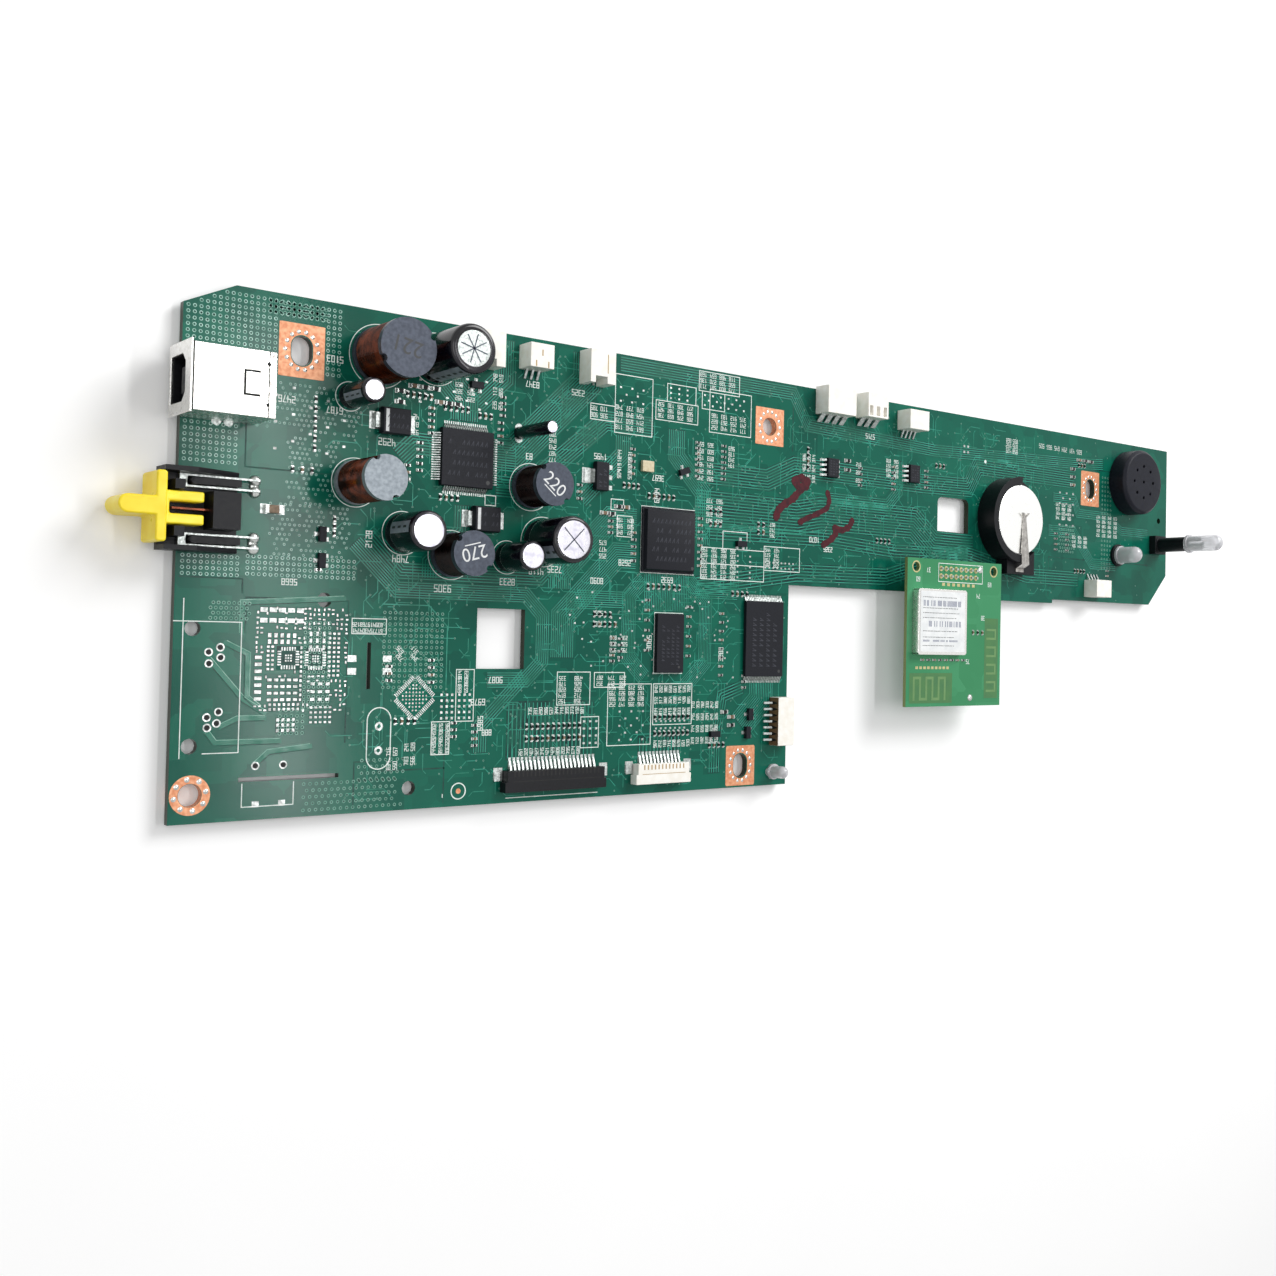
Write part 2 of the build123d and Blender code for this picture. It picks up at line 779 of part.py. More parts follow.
def tall_header(x):
    """A two-way header that leaves a notch for its legs at the back."""
    body, pins = header_shape(2, tall_header_length, tall_header_depth, tall_header_height, wide_pitch)
    notch_y = (tall_header_notch_depth - tall_header_depth) / 2
    notch = block(tall_header_notch_width, tall_header_notch_depth, tall_header_height + 2,
                  tall_header_notch_x, notch_y, -1)
    legs = []
    for leg_x in (-header_pitch / 2, header_pitch / 2):
        legs.append(block(0.5, tall_header_notch_depth - 0.2, 0.3, tall_header_notch_x + leg_x,
                          notch_y + 0.1, 0))
    y = board_depth - tall_header_edge_gap - tall_header_depth / 2
    return placed_header(body - notch, pins + legs, x, y, 0)


def wide_header(ways, depth, height, x, slotted):
    """A header with broad legs 2.5 mm apart. Its mouth stands a little over the board's edge."""
    length = (ways - 1) * wide_pitch + 2 * wide_header_end
    body, pins = header_shape(ways, length, depth, height, wide_pitch)
    if slotted:
        slot_y = latch_slot_inset + (latch_slot_length - depth) / 2
        for index in range(ways):
            body -= block(latch_slot_width, latch_slot_length, latch_slot_depth + 1,
                          (index - (ways - 1) / 2) * wide_pitch, slot_y, height - latch_slot_depth)
    legs = header_legs(ways, wide_pitch, wide_header_foot_width, depth, 2.1)
    return placed_header(body, pins + legs, x, board_depth + wide_header_overhang - depth / 2, 0)


def wire_headers():
    back_y = board_depth - edge_gap - header_depth / 2
    arm_y = arm_front + arm_edge_gap + header_depth / 2
    save("wire_headers_2_way", tall_header(header_1_x), tall_header(header_3_x))
    save("wire_header_3_way", fine_header(3, header_height, header_2_x, back_y, 0))
    save("wire_headers_4_way", fine_header(4, header_height, header_6_x, back_y, 0),
         fine_header(4, header_height, header_7_x, arm_y, 180))
    side_x = main_length - header_8_inset - header_depth / 2
    save("wire_header_7_way", fine_header(7, header_8_height, side_x, header_8_y, -90))
    save("wide_header_4_way", wide_header(4, wide_header_depth, header_height, header_4_x, False))
    save("wide_header_3_way", wide_header(3, wide_header_depth - 0.6, header_height, header_5_x, True))
    save("header_contacts", *header_contacts)


# ---- Ribbon sockets ----
def ribbon_socket(name, ways, x):
    """A flat-cable socket: its slot looks to the front edge and its legs leave at the back."""
    length = (ways - 1) * ribbon_pitch + 2 * ribbon_end
    y0 = ribbon_y - ribbon_depth / 2
    y1 = ribbon_y + ribbon_depth / 2
    body = block(length, ribbon_depth, ribbon_height, x, ribbon_y, deck)
    body -= block((ways + 0.4) * ribbon_pitch, ribbon_slot_depth, ribbon_slot, x,
                  y0 + ribbon_slot_depth / 2, deck + 0.7)
    for side in (-1, 1):
        body -= block(ribbon_tab_width, ribbon_tab_length, ribbon_height + 1,
                      x + side * (length - ribbon_tab_width) / 2, y1 - ribbon_tab_length / 2, deck - 0.5)
    save(name, body)
    metal = []
    t = 0.2
    for index in range(ways):
        way_x = x + (index - (ways - 1) / 2) * ribbon_pitch
        face = Plane.YZ * make_face(Polyline((y1, 0.8), (y1 + ribbon_foot, t), (y1 + ribbon_foot, 0),
                                             (y1, 0), close=True))
        metal.append(Pos(way_x, 0, deck) * extrude(face, 0.22, both=True))
    for side in (-1, 1):
        inner_end = length / 2 - ribbon_tab_width + 0.1
        outer_end = length / 2 + ribbon_tab_reach
        metal.append(block(outer_end - inner_end, ribbon_tab_length - 0.3, 0.3,
                           x + side * (inner_end + outer_end) / 2, y1 - ribbon_tab_length / 2, deck))
    return metal


def ribbon_sockets():
    metal = ribbon_socket("ribbon_socket_1", ribbon_1_ways, ribbon_1_x)
    metal += ribbon_socket("ribbon_socket_2", ribbon_2_ways, ribbon_2_x)
    save("ribbon_contacts", *metal)


# ---- Coin cell ----
def coin_cell():
    floor_top = deck + holder_floor
    wall_top = deck + holder_wall_top
    holder = rod(holder_radius, holder_x, holder_y, deck, wall_top)
    pocket = cell_radius + cell_play
    holder -= rod(pocket, holder_x, holder_y, floor_top, wall_top + 1)
    mouth_half = holder_radius * sin(radians(holder_mouth_angle / 2))
    holder -= span(holder_x, holder_x + holder_radius + 1, holder_y - mouth_half, holder_y + mouth_half,
                   floor_top, wall_top + 1)
    tail_front = holder_y - holder_radius - holder_tail_length + 1.8
    tail = span(holder_x - holder_tail_width / 2 + 2, holder_x + holder_tail_width / 2 + 2,
                tail_front, holder_y, deck, deck + holder_tail_height)
    tail -= rod(holder_radius - 0.5, holder_x, holder_y, floor_top, wall_top + 1)
    holder += tail
    save("cell_holder", holder)

    cell_top = floor_top + cell_height
    save("coin_cell", rod(cell_radius, holder_x, holder_y, floor_top, cell_top))

    tail_top = deck + holder_tail_height
    clip_x = holder_x + 1.2
    t = clip_thickness
    tip_y = holder_y + 2.0
    knee_y = holder_y - holder_radius - 0.9
    foot_y = tail_front + 0.6
    section = [(foot_y, tail_top), (knee_y - 0.6, tail_top), (knee_y + 0.6, cell_top + 0.5),
               (tip_y - 1.5, cell_top), (tip_y, cell_top + 0.5), (tip_y, cell_top + 0.5 + t),
               (tip_y - 1.5, cell_top + t), (knee_y + 0.4, cell_top + 0.5 + t),
               (knee_y - 0.8, tail_top + t), (foot_y, tail_top + t)]
    side_view = extrude(Plane.YZ * make_face(Polyline(*section, close=True)), 10, both=True)
    length = tip_y - foot_y
    w0, w1 = clip_width / 2, clip_tip_width / 2
    plan = make_face(Polyline((-w0, 0), (w0, 0), (w0 * 0.9, length * 0.35), (w1, length - 1.2),
                              (w1 + 1.0, length), (w1 + 0.2, length), (0, length - 0.8), (-w1 - 0.2, length),
                              (-w1 - 1.0, length), (-w1, length - 1.2),
                              (-w0 * 0.9, length * 0.35), close=True))
    outline = Pos(0, foot_y, 0) * extrude(plan, 40)
    clip = Pos(clip_x, 0, 0) * (side_view & outline)
    leads = [pin(clip_x, tail_front + 1.2, deck), pin(holder_x - 8.0, holder_y, deck)]
    save("cell_clip", clip, *leads)


# ---- Sounder and lamps ----
def sounder():
    top = deck + sounder_height
    body = turned([(0, deck), (sounder_radius, deck), (sounder_radius, top - sounder_edge),
                   (sounder_radius - sounder_edge, top), (0, top)], sounder_x, sounder_y)
    places = [(0, 0)] + [(sounder_ring * cos(radians(a)), sounder_ring * sin(radians(a)))
                         for a in range(0, 360, 45)]
    hole = extrude(RegularPolygon(sounder_hole, 6), sounder_hole_depth)
    for dx, dy in places:
        body -= Pos(sounder_x + dx, sounder_y + dy, top - sounder_hole_depth) * hole
    save("sounder", body, *pin_pair(sounder_x, sounder_y, sounder_pin_gap))


def lens(radius, x, y, z0, z1):
    """A moulded lens: a round body with a domed end."""
    centre = z1 - radius
    section = make_face(Polyline((0, z1), (0, z0), (radius, z0), (radius, centre))
                        + RadiusArc((radius, centre), (0, z1), -radius))
    return Pos(x, y, 0) * revolve(Plane.XZ * section, Axis.Z)


def lamps():
    foot = block(spacer_foot, spacer_foot, spacer_foot_height, tall_lamp_x, tall_lamp_y, deck)
    foot += rod(spacer_radius, tall_lamp_x, tall_lamp_y, deck, deck + spacer_height)
    save("lamp_spacer", foot, *pin_pair(tall_lamp_x, tall_lamp_y, lamp_pin_gap, 90))
    base = rod(sensor_base_radius, sensor_x, sensor_y, deck, deck + sensor_base_height)
    save("sensor_base", base, *pin_pair(sensor_x, sensor_y, lamp_pin_gap, 90))
    tall = lens(lamp_radius, tall_lamp_x, tall_lamp_y, deck + spacer_height, deck + tall_lamp_height)
    sensor_low = deck + sensor_base_height
    sensor = lens(lamp_radius, sensor_x, sensor_y, sensor_low, deck + sensor_height)
    sensor += rod(sensor_flange, sensor_x, sensor_y, sensor_low, sensor_low + flange_height)
    front = lens(front_lamp_radius, front_lamp_x, front_lamp_y, deck, deck + front_lamp_height)
    save("lamp_lenses", tall, sensor, front, *pin_pair(front_lamp_x, front_lamp_y, lamp_pin_gap))


# ---- Radio module ----
def radio_module():
    back = board_depth - radio_back
    front = back - radio_depth
    left = radio_x - radio_length / 2
    right = radio_x + radio_length / 2
    low = deck + radio_gap
    high = low + radio_thickness
    board = span(left, right, front, back, low, high)
    for x in (left + radio_hole_inset, right - radio_hole_inset):
        board -= drilled(radio_hole_radius, x, back - radio_hole_from_back)
    pins_x = left + radio_pins_from_left
    pins_y = back - radio_pins_from_back
    half_row = radio_pin_pitch / 2
    places = [(pins_x + (column - (radio_header_ways - 1) / 2) * radio_pin_pitch, pins_y + side * half_row)
              for column in range(radio_header_ways) for side in (-1, 1)]
    strip_length = radio_header_ways * radio_pin_pitch
    strip_depth = 2 * radio_pin_pitch
    header_low = deck + radio_socket_height
    socket = block(strip_length + 0.4, strip_depth + 0.6, radio_socket_height, pins_x, pins_y, deck)
    header = block(strip_length, strip_depth, low - header_low, pins_x, pins_y, header_low)
    pins = []
    for x, y in places:
        pins.append(block(pin_width, pin_width, radio_pin_tip, x, y, high))
    save("radio_board", board)
    save("radio_socket", socket)
    save("radio_header", header)
    save("radio_pins", *pins)

    shield_left = left + shield_from_left - shield_length / 2
    shield_back = back - shield_from_back + shield_depth / 2
    shield = span(shield_left, shield_left + shield_length, shield_back - shield_depth, shield_back,
                  high, high + shield_height)
    edges = shield.edges().filter_by(Axis.Z)
    shield = chamfer(edges, 0.5)
    shield -= span(shield_left + shield_sheet, shield_left + shield_length - shield_sheet,
                   shield_back - shield_depth + shield_sheet, shield_back - shield_sheet,
                   high - 1, high + shield_height - shield_sheet)
    save("radio_shield", shield)


# ---- Small chip parts: each row is a part size, a first place, a step and a count ----
def chip_rows():
    top = board_depth
    return [
        (chip_1206, (17.4, top - 41.2), (0, 0), 1),
        (chip_0603, (45.5, top - 14.0), (2.4, 0), 3),
        (chip_0603, (51.4, top - 16.6), (1.9, 0), 3),
        (chip_0603, (42.6, top - 15.4), (0, -2.2), 2),
        (chip_0603, (92.2, top - 36.3), (2.0, 0), 2),
        (chip_0603, (96.0, top - 34.6), (2.0, 0), 2),
        (chip_0603, (main_length - 19.8, 18.2), (0, -2.4), 1),
        (chip_0603, (main_length - 17.7, 17.0), (0, -2.0), 2),
        (chip_0603, (small_ic_1[0] + 6.2, small_ic_1[1] + 2.5), (0, -2.4), 2),
        (chip_0603, (board_length - 49.4, top - 10.4), (0, -2.4), 3),
        (chip_0603, (board_length - 46.4, top - 7.4), (2.9, 0), 3),
    ]


def chip_parts():
    bodies = []
    for size, (x, y), (dx, dy), count in chip_rows():
        length, depth, height = size
        for index in range(count):
            bodies.append(block(length, depth, height, x + index * dx, y + index * dy, deck))
    save("chip_parts", *bodies)


# ---- The board itself, cut for all that passes through it ----
def main_board(leg_places):
    outline = make_face(Polyline(
        (0, 0), (main_length, 0), (main_length, arm_front),
        (board_length - break_tab_from_right - break_tab_length, arm_front),
        (board_length - break_tab_from_right - break_tab_length, arm_front - break_tab_depth),
        (board_length - break_tab_from_right, arm_front - break_tab_depth),
        (board_length - break_tab_from_right, arm_front),
        (board_length - right_corner_x, arm_front),
        (board_length, arm_front + right_corner_y), (board_length, board_depth),
        (left_corner_x, board_depth), (0, board_depth - left_corner_y), close=True))
    board = extrude(outline, board_thickness)
    cuts = [slot_cut(slot_left_x, slot_left_y), slot_cut(slot_front_x, slot_front_y),
            slot_cut(slot_right_x, slot_right_y)]
    cuts.append(block(milled_slot_width, milled_slot_1_length, board_thickness + 2,
                      milled_slot_1_x, milled_slot_1_y, -1))
    cuts.append(block(milled_slot_2_length, milled_slot_width, board_thickness + 2,
                      milled_slot_2_x, milled_slot_2_y, -1))
    cuts.append(block(window_length, window_depth, board_thickness + 2, window_x, window_y, -1))
    rounded = extrude(RectangleRounded(arm_window_length, arm_window_depth, arm_window_corner),
                      board_thickness + 2)
    cuts.append(Pos(arm_window_x, arm_window_y, -1) * rounded)
    cuts.append(rod(corner_hole_radius, corner_hole_x, corner_hole_y, -1, board_thickness + 1))
    cuts.append(rod(locating_hole_radius, locating_hole_x, locating_hole_y, -1, board_thickness + 1))
    cuts.append(drilled(lamp_hole_radius, lamp_hole_x, lamp_hole_y))
    cuts += [drilled(tooling_hole_radius, x, y)
             for x, y in (tooling_hole_1, tooling_hole_2, tooling_hole_3, tooling_hole_4)]
    hole = pin_width + 2 * pin_clearance
    for x, y in pin_places:
        cuts.append(block(hole, hole, board_thickness + 2, x, y, -1))
    for x, y in leg_places:
        cuts.append(block(usb_leg_width + 2 * pin_clearance, usb_sheet + 2 * pin_clearance,
                          board_thickness + 2, x, y, -1))
    board -= cuts
    save("main_board", board)


os.makedirs("parts", exist_ok=True)
usb_legs = usb_port()
power_inlet()
chokes()
capacitor(1, cap_1_radius, cap_1_height, cap_1_x, cap_1_y, 30)
capacitor(2, cap_2_radius, cap_2_height, cap_2_x, cap_2_y, 90)
capacitor(3, cap_3_radius, cap_3_height, cap_3_x, cap_3_y, 90)
capacitor(4, cap_4_radius, cap_4_height, cap_4_x, cap_4_y, 90)
capacitor(5, cap_5_radius, cap_5_height, cap_5_x, cap_5_y, 90)
slim_capacitor()
diodes()
chips()
transistors()
wire_headers()
ribbon_sockets()
coin_cell()
sounder()
lamps()
radio_module()
chip_parts()
main_board(usb_legs)
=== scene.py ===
"""Finish and studio for a printer's controller board.

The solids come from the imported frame. This script gives each its material, adds what is too fine for
them, such as tracks, vias, ink, solder and wire turns, and sets the board on a pale floor.
"""
import math

import bmesh
import bpy
import numpy as np
from mathutils import Matrix, Vector


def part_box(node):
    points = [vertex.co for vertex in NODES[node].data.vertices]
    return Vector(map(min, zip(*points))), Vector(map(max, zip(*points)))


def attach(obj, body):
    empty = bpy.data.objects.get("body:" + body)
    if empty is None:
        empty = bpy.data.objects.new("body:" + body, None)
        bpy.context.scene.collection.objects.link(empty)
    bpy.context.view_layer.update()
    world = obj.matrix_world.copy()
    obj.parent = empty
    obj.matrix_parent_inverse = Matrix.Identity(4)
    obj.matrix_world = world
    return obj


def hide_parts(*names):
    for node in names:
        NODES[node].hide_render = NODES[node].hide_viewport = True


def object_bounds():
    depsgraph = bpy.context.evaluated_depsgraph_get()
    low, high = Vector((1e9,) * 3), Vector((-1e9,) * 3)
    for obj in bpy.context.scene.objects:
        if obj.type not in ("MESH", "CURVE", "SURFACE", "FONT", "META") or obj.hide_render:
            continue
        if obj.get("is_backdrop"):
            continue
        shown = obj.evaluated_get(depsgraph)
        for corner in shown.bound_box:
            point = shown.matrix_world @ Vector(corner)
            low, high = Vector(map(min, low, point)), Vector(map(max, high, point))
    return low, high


bl_info = {
    "name": "Printer controller board",
    "version": (1, 0, 0),
    "blender": (4, 5, 0),
    "location": "3D View > Sidebar > Board",
    "description": "Finishes a printer's controller board and its studio",
    "category": "Object",
}

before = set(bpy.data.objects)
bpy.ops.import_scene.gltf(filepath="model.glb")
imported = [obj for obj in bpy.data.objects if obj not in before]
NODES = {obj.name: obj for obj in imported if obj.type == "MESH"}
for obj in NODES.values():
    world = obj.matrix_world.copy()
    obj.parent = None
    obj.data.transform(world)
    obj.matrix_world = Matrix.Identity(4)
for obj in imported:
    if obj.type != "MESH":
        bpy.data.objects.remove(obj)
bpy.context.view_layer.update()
MM = 0.001
BOARD_LOW, BOARD_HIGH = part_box("main_board")
BOARD_LENGTH = (BOARD_HIGH.x - BOARD_LOW.x) / MM
BOARD_DEPTH = (BOARD_HIGH.y - BOARD_LOW.y) / MM
MAIN_LENGTH = 147.6
ARM_FRONT = BOARD_DEPTH - 50.2
# Length and depth of the two cut-off corners: at the back left and at the front of the arm's end.
LEFT_CUT, RIGHT_CUT = (9.5, 4.6), (9.3, 9.6)
# Places below are millimetres from the board's front left corner, and heights from its upper face.
CORNER = np.array([BOARD_LOW.x, BOARD_LOW.y, BOARD_HIGH.z])
UNDERSIDE = (BOARD_LOW.z - BOARD_HIGH.z) / MM
WELD = 2e-6  # corners nearer than this many metres are one corner
SHARP_PIECE, SHARP_SOLID = math.radians(40), math.radians(35)  # edges bent more than this stay sharp
MARK_LIFT = 0.012  # flat marks lie this far over the face that carries them
BAR_STEP = 0.006  # bars of one group lie within this height of each other


# ---------- meshes

def centre(name):
    """The middle of a solid's box and its size, in millimetres from the board's corner."""
    low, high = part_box(name)
    low, high = np.array(low), np.array(high)
    return ((low + high) / 2 - CORNER) / MM, (high - low) / MM


def new_object(name, data):
    """An object in the scene that holds the data."""
    obj = bpy.data.objects.new(name, data)
    bpy.context.scene.collection.objects.link(obj)
    return obj


def piece(name, verts, faces, material, slot, smooth=False):
    """A mesh object from millimetre points and faces, in a material of the table. It rides on the board."""
    mesh = bpy.data.meshes.new(name)
    points = np.asarray(verts, dtype=float) * MM + CORNER
    mesh.from_pydata(points.tolist(), [], [list(map(int, face)) for face in faces])
    mesh.materials.append(MATERIALS[material])
    mesh.polygons.foreach_set("use_smooth", [smooth] * len(mesh.polygons))
    if smooth:
        mesh.set_sharp_from_angle(angle=SHARP_PIECE)
    mesh.update()
    obj = new_object(name, mesh)
    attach(obj, "root")
    return obj


class Batch:
    """Collects many small shapes as arrays and makes one mesh of them."""

    def __init__(self):
        self.verts, self.faces, self.count = [], [], 0

    def add(self, verts, faces):
        verts = np.asarray(verts, dtype=float).reshape(-1, 3)
        self.verts.append(verts)
        self.faces.extend((np.asarray(face) + self.count for face in faces))
        self.count += len(verts)

    def build(self, name, material, slot, smooth=False):
        return piece(name, np.vstack(self.verts), self.faces, material, slot, smooth)


def spin(turn):
    """The matrix that turns points by t degrees: (x, y) goes to (x cos t - y sin t, x sin t + y cos t)."""
    t = math.radians(turn)
    return np.array([[math.cos(t), math.sin(t)], [-math.sin(t), math.cos(t)]])


def strokes(segments, width, z):
    """Flat bars. Each runs from (x0, y0) to (x1, y1), half a width longer at both ends.

    Bars that cross would lie in one plane, so each is a few micrometres above or below the next.
    """
    s = np.asarray(segments, dtype=float).reshape(-1, 4)
    run = s[:, 2:] - s[:, :2]
    length = np.maximum(np.linalg.norm(run, axis=1, keepdims=True), 1e-6)
    along = run / length * width / 2
    side = np.stack([-along[:, 1], along[:, 0]], axis=1)
    a, b = s[:, :2] - along, s[:, 2:] + along
    corners = np.stack([a - side, b - side, b + side, a + side], axis=1)
    level = z + BAR_STEP * (np.arange(len(s)) * 0.618 % 1)
    heights = np.repeat(level[:, None, None], 4, axis=1)
    verts = np.concatenate([corners, heights], axis=2).reshape(-1, 3)
    faces = np.arange(len(s) * 4).reshape(-1, 4)
    return verts, faces


def rounds(centres, radius, z, sides, inner=0.0):
    """Flat discs, or rings where inner is above 0. A corner is (r cos a, r sin a)."""
    c = np.asarray(centres, dtype=float).reshape(-1, 2)
    angle = np.arange(sides) * 2 * np.pi / sides
    unit = np.stack([np.cos(angle), np.sin(angle)], axis=1)
    outer = c[:, None] + unit * radius
    if inner <= 0:
        verts = np.concatenate([outer, np.full(outer.shape[:2] + (1,), z)], axis=2).reshape(-1, 3)
        return verts, np.arange(len(c) * sides).reshape(-1, sides)
    both = np.stack([outer, c[:, None] + unit * inner], axis=1)
    verts = np.concatenate([both, np.full(both.shape[:3] + (1,), z)], axis=3).reshape(-1, 3)
    i = np.arange(sides)
    j = (i + 1) % sides
    ring = np.stack([i, j, j + sides, i + sides], axis=1)
    faces = (np.arange(len(c))[:, None, None] * 2 * sides + ring).reshape(-1, 4)
    return verts, faces


def bars(centres, size, z, turn=0.0):
    """Flat rectangles of one size, turned by turn degrees."""
    c = np.asarray(centres, dtype=float).reshape(-1, 2)
    half = np.array([[-1, -1], [1, -1], [1, 1], [-1, 1]]) * np.asarray(size) / 2
    flat = c[:, None] + half @ spin(turn)
    verts = np.concatenate([flat, np.full(flat.shape[:2] + (1,), z)], axis=2).reshape(-1, 3)
    return verts, np.arange(len(c) * 4).reshape(-1, 4)


def facing_down(shape):
    """The same flat shape with its faces turned to look down."""
    verts, faces = shape
    return verts, faces[:, ::-1]


def blocks(centres, size, z, turn=0.0, shrink=1.0):
    """Upright boxes of one size that stand on z; shrink narrows their tops."""
    c = np.asarray(centres, dtype=float).reshape(-1, 2)
    low, _ = bars(c, size[:2], z, turn)
    high, _ = bars(c, (size[0] * shrink, size[1] * shrink), z + size[2], turn)
    verts = np.concatenate([low.reshape(-1, 4, 3), high.reshape(-1, 4, 3)], axis=1).reshape(-1, 3)
    cube = np.array([[3, 2, 1, 0], [4, 5, 6, 7], [0, 1, 5, 4], [1, 2, 6, 5], [2, 3, 7, 6], [3, 0, 4, 7]])
    faces = (np.arange(len(c))[:, None, None] * 8 + cube).reshape(-1, 4)
    return verts, faces


def lathe(profile, x, y, sides):
    """A surface of revolution: point (r, z) of the profile goes to (x + r cos a, y + r sin a, z)."""
    p = np.asarray(profile, dtype=float)
    angle = np.arange(sides) * 2 * np.pi / sides
    r, z = p[:, :1], np.repeat(p[:, 1:], sides, axis=1)
    verts = np.stack([x + r * np.cos(angle), y + r * np.sin(angle), z], axis=2).reshape(-1, 3)
    rows, i = np.arange(len(p) - 1)[:, None] * sides, np.arange(sides)
    j = (i + 1) % sides
    faces = np.stack([rows + i, rows + j, rows + j + sides, rows + i + sides], axis=2).reshape(-1, 4)
    return verts, faces


def capped(profile, x, y, sides=64):
    """A closed turned solid: the lathe's surface with its two ends filled."""
    verts, faces = lathe(profile, x, y, sides)
    ends = [np.arange(sides)[::-1], np.arange(sides) + (len(profile) - 1) * sides]
    return verts, list(faces) + ends


def arc_patch(x, y, radius, middle, spread, z0, z1, steps=8):
    """A strip of a cylinder's side: points (x + r cos a, y + r sin a) for a around the middle angle."""
    angle = np.radians(middle + np.linspace(-spread, spread, steps + 1))
    flat = np.stack([x + radius * np.cos(angle), y + radius * np.sin(angle)], axis=1)
    low = np.column_stack([flat, np.full(steps + 1, z0)])
    high = np.column_stack([flat, np.full(steps + 1, z1)])
    i = np.arange(steps)
    return np.vstack([low, high]), np.stack([i, i + 1, i + steps + 2, i + steps + 1], axis=1)


def numeral(name, value, place, height, turn, material, slot):
    """A number as flat print. Its outline is made a mesh, then turned about its middle and moved."""
    curve = bpy.data.curves.new(name, "FONT")
    curve.body = str(value)
    curve.align_x, curve.align_y = "CENTER", "CENTER"
    curve.size = 1.0
    holder = bpy.data.objects.new(name, curve)
    flat = bpy.data.meshes.new_from_object(holder)
    verts = np.empty(len(flat.vertices) * 3)
    flat.vertices.foreach_get("co", verts)
    verts = verts.reshape(-1, 3)
    faces = [tuple(polygon.vertices) for polygon in flat.polygons]
    bpy.data.objects.remove(holder)
    bpy.data.curves.remove(curve)
    bpy.data.meshes.remove(flat)
    low, high = verts.min(axis=0), verts.max(axis=0)
    verts = (verts - (low + high) / 2) * height / (high[1] - low[1])
    verts[:, :2] = verts[:, :2] @ spin(turn)
    return piece(name, verts + place, faces, material, slot)


def domes(centres, radius, height, z, sides, rows, below=False):
    """Small domes: at angle t the radius is r cos t and the height h sin t, up to a flat spot on top."""
    t = np.linspace(0, np.pi / 2 * 0.94, rows)
    sign = -1 if below else 1
    profile = np.stack([radius * np.cos(t), z + sign * height * np.sin(t)], axis=1)
    out_v, out_f, count = [], [], 0
    verts, faces = lathe(profile, 0, 0, sides)
    cap = np.arange((rows - 1) * sides, rows * sides)
    if below:
        faces, cap = faces[:, ::-1], cap[::-1]
    for cx, cy in np.asarray(centres, dtype=float).reshape(-1, 2):
        out_v.append(verts + [cx, cy, 0])
        out_f.extend(faces + count)
        out_f.append(cap + count)
        count += len(verts)
    return np.vstack(out_v), out_f


def tube(path, radius, sides):
    """A round wire along a path: each ring lies across the path's direction."""
    p = np.asarray(path, dtype=float)
    run = np.gradient(p, axis=0)
    run /= np.linalg.norm(run, axis=1, keepdims=True)
    up = np.array([0.0, 0.0, 1.0]) + run * 1e-3
    side = np.cross(run, up)
    side /= np.linalg.norm(side, axis=1, keepdims=True)
    lift = np.cross(side, run)
    angle = np.arange(sides) * 2 * np.pi / sides
    rings = (p[:, None] + radius * (side[:, None] * np.cos(angle)[None, :, None]
                                    + lift[:, None] * np.sin(angle)[None, :, None]))
    i = np.arange(sides)
    j = (i + 1) % sides
    rows = np.arange(len(p) - 1)[:, None] * sides
    side_faces = np.stack([rows + i, rows + i + sides, rows + j + sides, rows + j], axis=2)
    ends = [np.arange(sides), (np.arange(sides) + (len(p) - 1) * sides)[::-1]]
    return rings.reshape(-1, 3), list(side_faces.reshape(-1, 4)) + ends


def dressed(name, material, width, segments=2):
    """A merged copy of a solid with softened edges, shown in the solid's place."""
    mesh = NODES[name].data.copy()
    work = bmesh.new()
    work.from_mesh(mesh)
    bmesh.ops.remove_doubles(work, verts=work.verts, dist=WELD)
    bmesh.ops.dissolve_limit(work, angle_limit=math.radians(1), verts=work.verts, edges=work.edges)
    work.to_mesh(mesh)
    work.free()
    mesh.materials.clear()
    mesh.materials.append(MATERIALS[material])
    mesh.polygons.foreach_set("use_smooth", [True] * len(mesh.polygons))
    mesh.set_sharp_from_angle(angle=SHARP_SOLID)
    obj = new_object(f"{name}_finished", mesh)
    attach(obj, "root")
    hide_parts(name)
    bevel = obj.modifiers.new("soft edges", "BEVEL")
    bevel.width = width * MM
    bevel.segments = segments
    bevel.limit_method = "ANGLE"
    bevel.angle_limit = SHARP_SOLID
    bevel.harden_normals = True
    bevel.use_clamp_overlap = True
    return obj


def paint(material, *names):
    """Gives solids a material as they are."""
    for name in names:
        for slot in NODES[name].material_slots:
            slot.material = MATERIALS[material]


def second_finish(obj, material, inside_box):
    """Gives another material to the faces whose middles lie in a box of two millimetre corners."""
    mesh = obj.data
    mesh.materials.append(MATERIALS[material])
    middles = np.empty(len(mesh.polygons) * 3)
    mesh.polygons.foreach_get("center", middles)
    middles = (middles.reshape(-1, 3) - CORNER) / MM
    low, high = inside_box
    index = np.zeros(len(mesh.polygons), dtype=int)
    mesh.polygons.foreach_get("material_index", index)
    index[np.all((middles > low) & (middles < high), axis=1)] = len(mesh.materials) - 1
    mesh.polygons.foreach_set("material_index", index)


